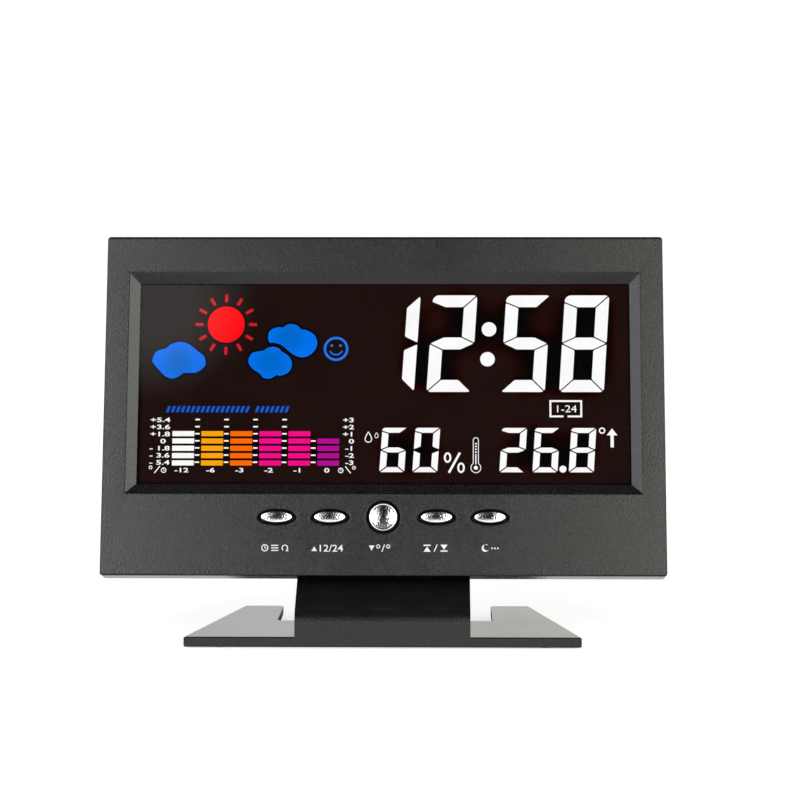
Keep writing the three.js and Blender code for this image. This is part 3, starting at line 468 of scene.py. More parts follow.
for kind, radius, bore, end in (("case_screw", 2.5, 1.7, 14.0), ("board_screw", 2.1, 1.2, 9.7)):
    for number in range(1, 5):
        x, v, *_ = middle_of(f"{kind}_{number}")
        boss = ((radius, face_wall), (radius, end - lip), (radius - lip, end), (bore, end),
                (bore, bore_start))
        root, floor_ring = bezel.wall(*[(disc(x, v, r, 32), w) for r, w in boss])
        back_holes.append(root)
        bezel.fill(floor_ring)
bezel.fill(face_edge_ring, *front_holes)
bezel.fill(rim, *back_holes)
hand_over(build("bezel_moulding", bezel, case_plastic), "black_plastic", "front_bezel")

# Key legends
# Marks in white ink, pad-printed on the face below each key. Only plain numbers and signs are used.
print_thickness = 0.03


def plain_mesh(carrier):
    """The evaluated shape of an object as a mesh of its own. The object is removed."""
    bpy.context.view_layer.update()
    made = bpy.data.meshes.new_from_object(carrier.evaluated_get(bpy.context.evaluated_depsgraph_get()))
    bpy.data.objects.remove(carrier)
    return made


def cut_out(loops, thickness=print_thickness):
    """Flat shapes of a thickness inside closed loops of x and v. A loop inside another is a hole."""
    drawing = bpy.data.curves.new("drawing", "CURVE")
    drawing.dimensions = "2D"
    drawing.fill_mode = "BOTH"
    drawing.extrude = thickness / 2
    for loop in loops:
        spline = drawing.splines.new("POLY")
        spline.points.add(len(loop) - 1)
        for point, (x, v) in zip(spline.points, loop):
            point.co = (x, v, 0, 1)
        spline.use_cyclic_u = True
    return plain_mesh(placed("drawing", drawing))


def numerals(text, x, v, height, stretch=1.0, weight=0.0, align="CENTER"):
    """Plain figures whose lower edge is at v, as a flat mesh."""
    capital = 0.73  # height of a figure in the built-in type, for a size of 1
    drawing = bpy.data.curves.new("figures", "FONT")
    drawing.body = text
    drawing.size = height / capital
    drawing.align_x = align
    drawing.offset = weight
    drawing.extrude = print_thickness / 2
    drawing.resolution_u = 4
    made = plain_mesh(placed("figures", drawing))
    made.transform(Matrix.Translation((x, v, 0)) @ Matrix.Diagonal((stretch, 1, 1, 1)))
    return made


# Lays a drawing in x and v on the head, its front towards the viewer
upright = Matrix(((1, 0, 0, 0), (0, 0, -1, 0), (0, 1, 0, 0), (0, 0, 0, 1)))


def printed(name, drawings, depth, material, slot="display_glass"):
    """A piece of print from flat drawings, whose middle lies at a depth."""
    made = bpy.data.meshes.new(name)
    knit(made, drawings, 1e-5)
    for drawing in drawings:
        bpy.data.meshes.remove(drawing)
    made.transform(on_head @ Matrix.Translation((0, depth, 0)) @ upright)
    made.materials.clear()
    made.materials.append(material)
    piece = placed(name, made)
    hand_over(piece, slot)


def stroke(path, width, closed=False):
    """Outline of a line of a width through points. A closed line gives its two edges."""
    count = len(path)
    left, right = [], []
    for i, (x, v) in enumerate(path):
        before = path[(i - 1) % count] if closed or i else path[i]
        after = path[(i + 1) % count] if closed or i < count - 1 else path[i]
        along = Vector((after[0] - before[0], after[1] - before[1])).normalized()
        left.append((x - along.y * width / 2, v + along.x * width / 2))
        right.append((x + along.y * width / 2, v - along.x * width / 2))
    return [left, right] if closed else [left + right[::-1]]


def hoop(x, v, radius, width, steps):
    return stroke(disc(x, v, radius, steps), width, closed=True)


def triangle(x, v, width, height, points_up=True):
    tip, base = (v + height, v) if points_up else (v, v + height)
    return [(x - width / 2, base), (x + width / 2, base), (x, tip)]


white_ink = moulded("white_ink", srgb(250, 250, 250), grain=0.0003, drift=0.05, roughness=0.4,
                    relief=0.000004)
low, high = 7.5, 9.7
middle = (low + high) / 2
menu_x, up_x, down_x, memory_x, snooze_x = (keys[name][0] for name in key_names)

x = menu_x - 0.6
marks = [*hoop(x - 2.9, middle, 0.95, 0.3, 32),
         *stroke([(x - 2.9, middle + 0.55), (x - 2.9, middle), (x - 2.45, middle - 0.25)], 0.26),
         *[rounded(x - 0.9, x + 1.3, middle + rise - 0.16, middle + rise + 0.16, 0.1, 2)
           for rise in (0.78, 0.0, -0.78)],
         *stroke(arc(x + 3.3, middle, 0.85, -40, 230), 0.3), triangle(x + 3.98, middle - 1.0, 1.0, 0.75)]
marks += [triangle(up_x - 4.75, low + 0.15, 1.75, 1.45),
          triangle(down_x - 3.5, low + 0.3, 1.7, 1.6, points_up=False),
          *hoop(down_x - 1.5, middle + 0.5, 0.5, 0.26, 24),
          *stroke([(down_x - 0.35, low), (down_x + 0.45, high)], 0.28),
          *hoop(down_x + 1.6, middle + 0.5, 0.5, 0.26, 24)]
x = memory_x - 0.3
marks += [triangle(x - 2.6, low, 2.2, 1.55), rounded(x - 3.7, x - 1.5, high - 0.42, high, 0.1, 2),
          *stroke([(x - 0.5, low), (x + 0.5, high)], 0.28),
          triangle(x + 2.6, high - 1.55, 2.2, 1.55, points_up=False),
          rounded(x + 1.5, x + 3.7, low, low + 0.42, 0.1, 2)]
x = snooze_x - 0.3
marks += [arc(x - 1.2, middle, 1.1, 60, 330, 24) + arc(x - 0.75, middle + 0.3, 0.95, 318, 72, 18)]
marks += [disc(x + offset, middle, 0.26, 16) for offset in (0.9, 1.8, 2.7)]
figures = numerals("12/24", up_x + 0.25, low, high - low, 1.16, 0.012)
printed("key_legends", [cut_out(marks), figures], -print_thickness / 2, white_ink, "white_plastic")

# Keys
# Five caps moulded in ABS and chrome-plated, bare below their tops. Four are oval and bowed along their
# length. The round one has a rim and a groove round its dome. A flange keeps each one in its hole.
plated_skin, given = node_group("plated_skin", "ShaderNodeTree", [
    ("Colour", "Color", (0.6, 0.6, 0.62, 1)), ("Roughness", "Float", 0.08), ("Wave", "Float", 0.002)],
    skin_outputs)
place = own_place(plated_skin)
smudge = noise(place, 260.0, 4.0, 0.65)
add(plated_skin, "NodeGroupOutput", {
    "Colour": blend("MULTIPLY", step(smudge, 0.45, 0.75, 0.0, 0.25), given["Colour"], (0.7, 0.7, 0.72, 1)),
    "Roughness": plus(given["Roughness"], step(smudge, 0.45, 0.8, 0.0, 0.03)),
    "Height": noise(place, calc("DIVIDE", 1.0, given["Wave"]), 1.5)})


def metal(name, colour, **values):
    return finished(name, plated_skin, colour, metallic=1.0, **values)


chrome = metal("key_chrome", srgb(246, 247, 249), roughness=0.055, wave=0.0004, relief=0.00002)
# Black ABS of the caps' bare parts, also used as painted shade on the round cap's groove floor
carrier_plastic_and_groove_shade = moulded("key_carrier_and_groove_shade", srgb(20, 20, 21), speckle=0.4, relief=0.00002)
key_proud, key_edge = 1.0, 0.16
# How much narrower and lower than its opening a cap is
round_less, oval_less = (0.36, 0.252), (0.84, 0.09)
crown_aside, crown_above, crown_power = 0.16, 0.12, 1.6
dome_fall, dome_power = 0.16, 1.45
# The oval caps sit a little askew in their holes, by these slopes
askew = {"menu_key": 0.02, "up_key": 0.015, "memory_key": -0.008, "snooze_key": -0.008}
flange_front, flange_back = 2.8, 3.6
stem_radius, stem_end = 1.5, 4.6
rim_width, rim_half, groove_depth, plated_depth = 0.8, 0.3, 0.4, 0.1
rings, cap_steps = 12, 96


def crowned(x, v, half_width, half_height, lean, drop=0.0):
    """Depth of an oval cap's top, which falls away to the sides and, less, up and down."""
    return lambda px, pv: (
        drop - key_proud + lean * (px - x)
        + crown_aside * abs((px - x) / half_width) ** crown_power
        + crown_above * ((pv - v) / half_height) ** 2)


for name, (x, v, flange_width, flange_height) in keys.items():
    less = round_less if name == round_key else oval_less
    width, height = flange_width - 2 * key_flange - less[0], flange_height - 2 * key_flange - less[1]
    if name == round_key:
        half = width / 2
        dome = half - rim_width
        loops = [(disc(x, v, dome * k / rings, cap_steps), dome_fall * (k / rings) ** dome_power - key_proud)
                 for k in range(1, rings + 1)]
        profile = [(dome + 0.04, 0.28), (dome + 0.05, groove_depth), (dome + 0.17, groove_depth)]
        profile += [(half - rim_half + rim_half * math.cos(a), rim_half - rim_half * math.sin(a))
                    for a in (math.radians(180 - 20 * k) for k in range(10))]
        loops += [(disc(x, v, radius, cap_steps), fall - key_proud) for radius, fall in profile]
    else:
        within = (width / 2 - key_edge, height / 2 - key_edge)
        loops = [(oval(x, v, 2 * within[0] * k / rings, 2 * within[1] * k / rings, cap_steps),
                  crowned(x, v, *within, askew[name])) for k in range(1, rings + 1)]
        loops += [(oval(x, v, width - 2 * inset, height - 2 * inset, cap_steps),
                   crowned(x, v, *within, askew[name], drop))
                  for inset, drop in quarter(key_edge, key_edge)[1:]]
    loops += [(oval(x, v, width, height, cap_steps), w) for w in (plated_depth, flange_front)]
    loops += [(oval(x, v, flange_width, flange_height, cap_steps), w) for w in (flange_front, flange_back)]
    cap = Skin()
    top, under = cap.wall(*loops)
    cap.fill(top)
    stem, stem_tip = cap.wall(*[(disc(x, v, stem_radius, 32), w) for w in (flange_back, stem_end)])
    cap.fill(under, stem)
    cap.fill(stem_tip)
    key = build(f"{name}_cap", cap, chrome, sharp=50.0)
    # Below the plated top the bare plastic shows. The groove floor gets the same black as painted shade,
    # where the chrome would lie in shadow
    key.data.materials.append(carrier_plastic_and_groove_shade)
    for face in key.data.polygons:
        depth = (from_frame @ face.center).y
        if depth > plated_depth or abs(depth - groove_depth + key_proud) < 0.01:
            face.material_index = 1
    hand_over(key, "chrome", name, body=name.replace("key", "button"))

# Display window
# A sheet of clear acrylic behind the bezel's opening, with a few hairline scratches.


def dress(material, *nodes):
    """Gives CAD nodes their material."""
    for name in nodes:
        frame["nodes"][name].data.materials.clear()
        frame["nodes"][name].data.materials.append(material)


acrylic, tree = blank(bpy.data.materials, "clear_acrylic")
stretched = add(tree, "ShaderNodeMapping", {"Vector": own_place(tree), "Scale": (90, 900, 1400)}).outputs[0]
shade(tree, {"Base Color": white, "Roughness": step(noise(stretched, 1.0, 3.0), 0.6, 0.8, 0.01, 0.06),
             "IOR": 1.49, "Transmission Weight": 1.0})
dress(acrylic, "display_window")

# Display glass
# Two sheets of glass with the liquid crystal between them. Unlit areas are nearly black, with a faint
# red glow of the backlight round the lit figures.
digit_slant = math.tan(math.radians(3.8))
segment_gap = 0.19
# Rounding of a figure's corners, its upper left one and its segments, as shares of a post's width
corner_share, first_share, segment_share = 0.34, 0.48, 0.09
lit_by = {"0": "abcdef", "1": "bc", "2": "abged", "5": "afgcd", "6": "afgedc", "8": "abcdefg"}


def corners(loop):
    """Each point of a closed loop, between those before and after it."""
    points = [Vector(p) for p in loop]
    return zip(points[-1:] + points[:-1], points, points[1:] + points[:1])


def shrink(loop, margin):
    """The loop with each side moved inwards."""
    sign = 1 if sum(here.cross(after) for _, here, after in corners(loop)) > 0 else -1
    moved = []
    for before, here, after in corners(loop):
        one, two = (here - before).normalized(), (after - here).normalized()
        normal = Vector((-one.y - two.y, one.x + two.x)).normalized() * sign
        spread = max(0.35, abs(normal.x * -one.y + normal.y * one.x))
        moved.append(here + normal * (margin / spread))
    return moved


def eased(loop, reach):
    """The loop with its sharp corners rounded over a reach along each side."""
    soft = []
    for before, here, after in corners(loop):
        if (here - before).angle(after - here) < math.radians(25):
            soft.append(here)
            continue
        start, end = (here + (other - here) * min(0.45, reach / (other - here).length)
                      for other in (before, after))
        soft += [start.lerp(here, t).lerp(here.lerp(end, t), t) for t in (0.0, 0.25, 0.5, 0.75, 1.0)]
    return soft


def figure(letter, x, v, width, height, post, bar, cut):
    """The lit segments of a figure whose lower left corner is at x, v, each a closed loop."""
    radius, first, mid = post * corner_share, post * first_share, height / 2
    below, above = mid - bar / 2, mid + bar / 2
    left, right, low, high = post, width - post, bar, height - bar
    corner = {
        "tl": arc(first, height - first, first, 90, 180, 6),
        "tr": arc(width - radius, height - radius, radius, 0, 90, 6),
        "br": arc(width - radius, radius, radius, 270, 360, 6),
        "bl": arc(radius, radius, radius, 180, 270, 6)}
    shapes = {
        "a": [(0, height - cut), (left, high), (right, high)] + corner["tr"][3:] + corner["tl"],
        "b": [(right, high), (right, above), (width, mid)] + corner["tr"][:4],
        "c": [(right, below), (right, low)] + corner["br"][3:] + [(width, mid)],
        "d": [(right, low), (left, low)] + corner["bl"][3:] + corner["br"][:4],
        "e": [(left, low), (left, below), (0, mid)] + corner["bl"][:4],
        "f": [(0, height - cut), (0, mid), (left, above), (left, high)],
        "g": [(0, mid), (left, below), (right, below), (width, mid), (right, above), (left, above)]}
    return [[(x + px + py * digit_slant, v + py)
             for px, py in eased(shrink(shapes[name], segment_gap), post * segment_share)]
            for name in lit_by[letter]]


time_low, time_size = 58.15, (14.35, 31.4, 4.4, 4.2, 2.45)
time_segments = [shape for letter, x in (("1", -4.85), ("2", 13.05), ("5", 36.15), ("8", 54.6))
                 for shape in figure(letter, x, time_low, *time_size)]
colon = [disc(32.9, 78.4, 2.3), disc(32.4, 68.8, 2.3)]
small_low, small_size = 32.7, (8.15, 14.4, 2.4, 1.95, 1.25)
small_segments = [shape for letter, x in (("6", -1.6), ("0", 8.7), ("2", 35.8), ("6", 46.1), ("8", 57.4))
                  for shape in figure(letter, x, small_low, *small_size)]

bar_low, bar_pitch, bar_height, bar_width = 35.7, 2.32, 1.62, 6.85
bar_first, column_pitch = -62.75, 9.08
bar_counts = (5, 5, 5, 5, 5, 4)
bar_blocks = []
for column, count in enumerate(bar_counts):
    x, base, top = bar_first + column * column_pitch, bar_low - 0.8, bar_low + (count - 0.6) * bar_pitch
    bar_blocks.append([(x - bar_width / 2, base), (x + bar_width / 2, base),
                       (x + bar_width / 2, top), (x - bar_width / 2, top)])

# The dark round lit areas follows how much is lit nearby: a lattice of shares, blurred
glass_low, glass_high = head_box("lcd_panel")
lattice_step, blur, blur_reach = 0.8, 4.4, 18
xs = np.minimum(np.arange(glass_low.x, glass_high.x + lattice_step / 2, lattice_step), glass_high.x)
vs = np.minimum(np.arange(glass_low.z, glass_high.z + lattice_step / 2, lattice_step), glass_high.z)
columns, rows = len(xs), len(vs)
lattice_x, lattice_v = (grid.ravel() for grid in np.meshgrid(xs, vs))
lit_share = np.zeros(lattice_x.shape)
for shapes, share in ((time_segments + colon, 1.0), (small_segments, 1.25), (bar_blocks, 0.6)):
    for shape in shapes:
        covered = np.zeros(lattice_x.shape, bool)
        for (ax, av), (bx, bv) in zip(shape, list(shape[1:]) + list(shape[:1])):
            crosses = (av > lattice_v) != (bv > lattice_v)
            rise = bv - av if abs(bv - av) > 1e-9 else 1e-9
            covered ^= crosses & (lattice_x < ax + (lattice_v - av) * (bx - ax) / rise)
        lit_share[covered] = share
weights = np.exp(-0.5 * (np.arange(-blur_reach, blur_reach + 1) * lattice_step / blur) ** 2)
weights /= weights.sum()
lit_share = lit_share.reshape(rows, columns)
for axis in (0, 1):
    lit_share = np.apply_along_axis(lambda line: np.convolve(line, weights, "same"), axis, lit_share)

crystal, tree = blank(bpy.data.materials, "liquid_crystal")
near_figure, border = (add(tree, "ShaderNodeAttribute", attribute_name=name).outputs["Fac"]
                       for name in ("near_figure", "inside"))
glow = add(tree, "ShaderNodeValToRGB", {"Fac": near_figure})
ramp = glow.color_ramp
ramp.elements[0].color = srgb(29, 13, 10)
ramp.elements[1].color = srgb(0, 0, 0)
for position, colour in ((0.17, (29, 13, 10)), (0.21, (32, 9, 5)), (0.25, (28, 3, 1)), (0.3, (15, 0, 0)),
                         (0.37, (2, 0, 0))):
    ramp.elements.new(position).color = srgb(*colour)
mottle = step(noise(own_place(tree), 60.0, 3.0), 0.3, 0.7, 0.85, 1.1)
grey = add(tree, "ShaderNodeCombineColor", {k: mottle for k in range(3)}).outputs[0]
shown = blend("MULTIPLY", 1.0, glow.outputs["Color"], grey)
framed = blend("MIX", border, (0.0005, 0.0005, 0.0005, 1), shown)
shade(tree, {"Base Color": (0.002, 0.002, 0.002, 1), "Roughness": 0.35, "Specular IOR Level": 0.0,
             "Emission Color": framed, "Emission Strength": 1.0})

face_w, thin = glass_low.y - 0.02, 0.02
index = np.arange(rows * columns).reshape(rows, columns)
brim = np.concatenate([index[0], index[1:, -1], index[-1, -2::-1], index[-2:0:-1, 0]]).tolist()
face = Skin()
face.points = [(x, face_w, v) for x, v in zip(lattice_x, lattice_v)]
cells = (index[:-1, :-1], index[:-1, 1:], index[1:, 1:], index[1:, :-1])
face.faces = np.stack(cells, -1).reshape(-1, 4).tolist()
back = face.ring([(lattice_x[k], lattice_v[k]) for k in brim], face_w + thin)
face.strip(brim, back)
face.faces.append(back[::-1])
display_face = build("display_face", face, crystal)
border_aside, border_above = 0.45, 0.35
inside = ((np.abs(lattice_x) < opening_half - border_aside) & (lattice_v > opening_low + border_above)
          & (lattice_v < opening_high - border_above))
for label, values in (("near_figure", lit_share.ravel()), ("inside", inside)):
    attribute = display_face.data.attributes.new(label, "FLOAT", "POINT")
    attribute.data.foreach_set("value", np.append(values, values[brim]).astype(np.float32))
hand_over(display_face, "display_glass")
dress(moulded("panel_glass", srgb(24, 17, 16), grain=0.004, roughness=0.12, relief=0.000001), "lcd_panel")

# Lit figures and signs of the display
# Clear areas of the liquid crystal that the backlight shines through, some behind a colour filter: the
# time, the humidity and temperature, the weather signs and a bar chart with its scale of plain numbers.
lit_strength, drift_share, lit_proud = 1.08, 0.93, 0.04
lit_depth = face_w - lit_proud


def lit(name, colour, centre=None, reach=0.0, inner=None):
    """Light through the display. With a centre, the colour drifts to the inner one there."""
    made, tree = blank(bpy.data.materials, name)
    place = own_place(tree)
    darker = tuple(c * drift_share for c in colour[:3]) + (1,)
    shown = blend("MIX", step(noise(place, 160.0), 0.2, 0.8), colour, darker)
    if inner:
        away = measure("DISTANCE", place, on_head @ Vector(centre))
        shown = blend("MIX", step(away, reach * mm, 0.25 * reach * mm), shown, inner)
    shade(tree, {"Base Color": (0, 0, 0, 1), "Roughness": 0.5, "Specular IOR Level": 0.0,
                 "Emission Color": shown, "Emission Strength": lit_strength})
    return made


def sign(name, loops, material, depth=lit_depth, thickness=print_thickness):
    printed(name, [cut_out(loops, thickness)], depth, material)


white_light = lit("white_light", white)
sign("time_figures", time_segments + colon, white_light)
percent = (stroke(oval(19.9, 37.5, 1.75, 2.75, 28), 0.58, closed=True)
           + stroke(oval(24.1, 34.3, 1.75, 2.75, 28), 0.58, closed=True)
           + stroke([(20.3, 32.75), (23.75, 39.05)], 0.72))
printed("climate_figures", [cut_out(small_segments + [disc(55.8, 33.9, 1.1)]), cut_out(percent)], lit_depth,
        white_light)

drop = [(0.88 * math.sin(a) * math.sin(a / 2) ** 1.5, math.cos(a)) for a in
        (2 * math.pi * (k + 0.5) / 32 for k in range(32))]
signs = []
for x, v, size, line in ((-4.85, 44.0, 1.65, 0.3), (-2.3, 44.6, 0.85, 0.18)):
    signs += stroke([(x + px * size, v + pv * size) for px, pv in drop], line, closed=True)
# Thermometer, and a ring and an arrow at the other end of the figures
x, bulb, tube = 28.7, 34.3, 43.0
signs += stroke(arc(x, tube, 0.8, 0, 180, 12) + arc(x, bulb, 1.55, 121, 419, 28), 0.24, closed=True)
signs += [disc(x, bulb, 0.62, 24), rounded(x - 0.17, x + 0.17, 35.4, 38.6, 0.1, 2)]
signs += [rounded(x - 0.25, x + 0.3, v, v + 0.45, 0.1, 2) for v in (39.0, 39.9, 40.8, 41.7)]
signs += hoop(68.1, 46.1, 0.8, 0.42, 28)
x, v = 71.2, 40.8
signs.append([(x - 0.5, v), (x + 0.5, v), (x + 0.5, v + 3.8), (x + 1.7, v + 3.8), (x, v + 6.0),
              (x - 1.7, v + 3.8), (x - 0.5, v + 3.8)])
# Box with a gap in its lower line
left, right, low, high, line = 51.75, 61.95, 50.3, 55.75, 0.58
signs.append([(56.1, low), (56.1, low + line), (left + line, low + line), (left + line, high - line),
              (right - line, high - line), (right - line, low + line), (57.4, low + line), (57.4, low),
              (right, low), (right, high), (left, high), (left, low)])
printed("climate_signs", [cut_out(signs), numerals("1-24", 56.85, 51.9, 2.35, 1.2)], lit_depth, white_light)


def flowing(points, steps=5):
    """Closed curve that flows through points."""
    loop = []
    for i in range(len(points)):
        a, b, c, d = (Vector(points[(i + k) % len(points)]) for k in range(-1, 3))
        for t in (s / steps for s in range(steps)):
            loop.append(tuple(0.5 * (2 * b + (c - a) * t + (2 * a - 5 * b + 4 * c - d) * t ** 2
                                     + (3 * b - a - 3 * c + d) * t ** 3)))
    return loop


cloud_blue, cloud_deep, cloud_reach, cloud_thickness = srgb(2, 114, 240), srgb(0, 104, 205), 6.6, 0.02
keyline = moulded("sign_keyline", (0.0008, 0.0006, 0.0006, 1), grain=0.001, relief=0.000001, specular=0.0)
keyline_depth, keyline_width, keyline_thickness = lit_depth + 0.02, 0.55, 0.01
clouds = {
    "cloud_left": ((-73.0, 68.6), (-71.7, 71.3), (-68.9, 72.15), (-67.3, 73.5), (-64.3, 74.3), (-61.5, 73.5),
                   (-58.8, 71.4), (-56.6, 69.4), (-56.4, 66.6), (-58.8, 64.6), (-60.6, 64.35), (-63.1, 64.3),
                   (-64.1, 63.5), (-66.7, 62.5), (-69.1, 63.5), (-70.9, 65.4), (-72.5, 67.2)),
    "cloud_high": ((-36.65, 75.9), (-36.2, 77.7), (-34.1, 79.0), (-31.9, 79.0), (-31.2, 79.6), (-29.6, 80.1),
                   (-27.4, 79.55), (-26.2, 78.4), (-24.6, 78.1), (-22.1, 76.6), (-21.1, 74.0), (-22.2, 71.15),
                   (-25.1, 69.4), (-28.4, 70.1), (-32.3, 73.2), (-34.8, 74.05), (-36.0, 74.0), (-36.5, 74.9)),
    "cloud_low": ((-42.8, 68.2), (-41.6, 70.7), (-38.7, 71.4), (-37.8, 71.6), (-37.2, 72.2), (-35.1, 72.75),
                  (-33.1, 72.2), (-32.4, 71.3), (-30.1, 69.7), (-29.0, 67.3), (-30.0, 64.6), (-32.6, 63.45),
                  (-33.8, 63.65), (-35.6, 62.6), (-37.9, 62.75), (-39.1, 64.1), (-41.6, 65.9))}
for name, points in clouds.items():
    # The low cloud lies in front of the high one
    over = lit_proud if name == "cloud_low" else 0.0
    centre = sum((Vector(p) for p in points), Vector((0, 0))) / len(points)
    blue = lit(f"{name}_light", cloud_blue, (centre.x, lit_depth, centre.y), cloud_reach, cloud_deep)
    shape = flowing(points)
    sign(name, [shape], blue, lit_depth - over, cloud_thickness)
    sign(f"{name}_keyline", [shrink(shape, -keyline_width)], keyline, keyline_depth - over, keyline_thickness)

x, v = -15.2, 72.1
sign("comfort_face", [*hoop(x, v, 3.5, 0.75, 48), disc(x - 1.35, v + 1.05, 0.42, 18),
                      disc(x + 1.35, v + 1.05, 0.42, 18), *stroke(arc(x, v + 0.2, 2.1, 205, 335), 0.42)],
     lit("comfort_light", srgb(30, 122, 240)))


def row_of(tree, count, **pitch):
    """Points in a row."""
    return add(tree, "GeometryNodeMeshLine", {"Count": count, "Offset": vector(tree, **pitch)},
               mode="OFFSET").outputs["Mesh"]


def copies(tree, points, shape, **turn):
    """A shape at each point."""
    return add(tree, "GeometryNodeInstanceOnPoints", {"Points": points, "Instance": shape, **turn}).outputs[0]


def put_out(tree, instances, place, material):
    """Ends a tree: instances at their place, made real, with their material set."""
    moved = add(tree, "GeometryNodeTransform", {"Geometry": instances, "Translation": place}).outputs[0]
    real = add(tree, "GeometryNodeRealizeInstances", {"Geometry": moved}).outputs[0]
    dressed = add(tree, "GeometryNodeSetMaterial", {"Geometry": real, "Material": material}).outputs[0]
    add(tree, "NodeGroupOutput", {"Geometry": dressed})


def grow(name, group, values):
    """Runs a geometry node tree and makes its result a piece of the display."""
    piece = placed(name, bpy.data.meshes.new(f"{name}_start"))
    modifier = piece.modifiers.new("field", "NODES")
    modifier.node_group = group
    for item in group.interface.items_tree:
        if item.in_out == "INPUT":
            modifier[item.identifier] = values[item.name]
    bpy.context.view_layer.update()
    made = bpy.data.meshes.new_from_object(piece.evaluated_get(bpy.context.evaluated_depsgraph_get()))
    piece.modifiers.remove(modifier)
    made.name = name
    made.transform(on_head)
    piece.data = made
    hand_over(piece, "display_glass")


# Rows and columns of equal flat blocks, each sheared by a slant
one_geometry = (("Geometry", "Geometry"),)
block_field, given = node_group("block_field", "GeometryNodeTree", [
    ("Columns", "Int", 1), ("Rows", "Int", 1), ("Pitch X", "Float", 1.0), ("Pitch V", "Float", 1.0),
    ("Size", "Vector", None), ("Corner", "Vector", None), ("Slant", "Float", 0.0),
    ("Material", "Material", None)], one_geometry)
cube = add(block_field, "GeometryNodeMeshCube", {"Size": given["Size"]}).outputs["Mesh"]
position = add(block_field, "GeometryNodeInputPosition").outputs[0]
rise = add(block_field, "ShaderNodeSeparateXYZ", {"Vector": position}).outputs["Z"]
sheared = add(block_field, "GeometryNodeSetPosition", {
    "Geometry": cube, "Offset": vector(block_field, X=times(rise, given["Slant"]))}).outputs[0]
column_blocks = copies(block_field, row_of(block_field, given["Rows"], Z=given["Pitch V"]), sheared)
all_blocks = copies(block_field, row_of(block_field, given["Columns"], X=given["Pitch X"]), column_blocks)
put_out(block_field, all_blocks, given["Corner"], given["Material"])

# Straight rays round a point, from one radius to another
ray_field, given = node_group("ray_field", "GeometryNodeTree", [
    ("Count", "Int", 12), ("Inner", "Float", 1.0), ("Length", "Float", 1.0), ("Width", "Float", 1.0),
    ("Thickness", "Float", 0.1), ("Centre", "Vector", None), ("Material", "Material", None)], one_geometry)
ray = add(ray_field, "GeometryNodeMeshCube", {
    "Size": vector(ray_field, X=given["Width"], Y=given["Thickness"], Z=given["Length"])}).outputs["Mesh"]
mid_radius = plus(given["Inner"], times(given["Length"], 0.5))
turn = times(calc("DIVIDE", add(ray_field, "GeometryNodeInputIndex").outputs[0], given["Count"]), 2 * math.pi)
spot = vector(ray_field, X=times(calc("SINE", turn), mid_radius), Z=times(calc("COSINE", turn), mid_radius))
ringed = add(ray_field, "GeometryNodeSetPosition", {
    "Geometry": row_of(ray_field, given["Count"]), "Position": spot}).outputs[0]
put_out(ray_field, copies(ray_field, ringed, ray, Rotation=vector(ray_field, Y=turn)), given["Centre"],
        given["Material"])

x, v = -49.9, 79.9
sign("sun_disc", [disc(x, v, 5.85, 64)], lit("sun_light", srgb(255, 0, 12)))
sign("sun_keyline", [disc(x, v, 6.35, 64)], keyline, keyline_depth, keyline_thickness)
grow("sun_rays", ray_field, {
    "Count": 12, "Inner": 7.15, "Length": 2.55, "Width": 0.95, "Thickness": print_thickness,
    "Centre": (x, lit_depth, v), "Material": lit("ray_light", srgb(206, 26, 36))})


def blocks(name, material, columns, rows, pitch, size, corner, slant=0.0):
    """Columns and rows of lit blocks. Pitch, size and corner are pairs of x and v."""
    grow(name, block_field, {
        "Columns": columns, "Rows": rows, "Pitch X": pitch[0], "Pitch V": pitch[1],
        "Size": (size[0], print_thickness, size[1]), "Corner": (corner[0], lit_depth, corner[1]),
        "Slant": slant, "Material": material})


bar_colours = {"white": (255, 255, 250), "amber": (253, 168, 14), "orange": (255, 108, 4),
               "rose": (246, 10, 140), "pink": (246, 10, 140), "purple": (178, 14, 146)}
for column, (label, colour) in enumerate(bar_colours.items()):
    light = lit(f"{label}_light", srgb(*colour))
    blocks(f"chart_bars_{label}", light, 1, bar_counts[column], (0.0, bar_pitch), (bar_width, bar_height),
           (bar_first + column * column_pitch, bar_low))
tick_pitch, tick_size, tick_low = 2.25, (1.45, 0.46), 35.95
tick_first = bar_first + column_pitch / 2 - 0.15
for label, columns, rows, first in (("main", 4, 7, 0), ("last", 1, 4, 4)):
    blocks(f"chart_ticks_{label}", white_light, columns, rows, (column_pitch, tick_pitch), tick_size,
           (tick_first + first * column_pitch, tick_low))
heading_blue = lit("heading_light", srgb(14, 92, 206))
heading_left, heading_low, mark_pitch, mark_size, mark_slant = -67.6, 52.75, 1.55, (0.85, 1.95), 0.35
for label, count, first in (("one", 17, 0), ("two", 7, 18)):
    blocks(f"chart_heading_{label}", heading_blue, count, 1, (mark_pitch, 0.0), mark_size,
           (heading_left + first * mark_pitch, heading_low), mark_slant)

number_height, number_weight, number_low = 1.45, 0.04, 35.9
left_edge, left_zero, right_edge, below_low, below_aside = -66.9, -68.2, -9.3, 32.75, 0.4


def scale_number(text, x, v, stretch=1.7, align="CENTER"):
    return numerals(text, x, v, number_height, stretch, number_weight, align)


scale = []
for k, (left, right) in enumerate(zip(("- 5.4", "- 3.6", "- 1.8", "0", "+1.8", "+3.6", "+5.4"),
                                      ("-3", "-2", "-1", "0", "+1", "+2", "+3"))):
    v = number_low + k * tick_pitch - number_height / 2
    scale.append(scale_number(left, left_zero if left == "0" else left_edge, v, 1.78, "RIGHT"))
    scale.append(scale_number(right, right_edge, v, align="RIGHT"))
for column, text in enumerate(("-12", "-6", "-3", "-2", "-1", "0")):
    scale.append(scale_number(text, bar_first + column * column_pitch - below_aside, below_low))
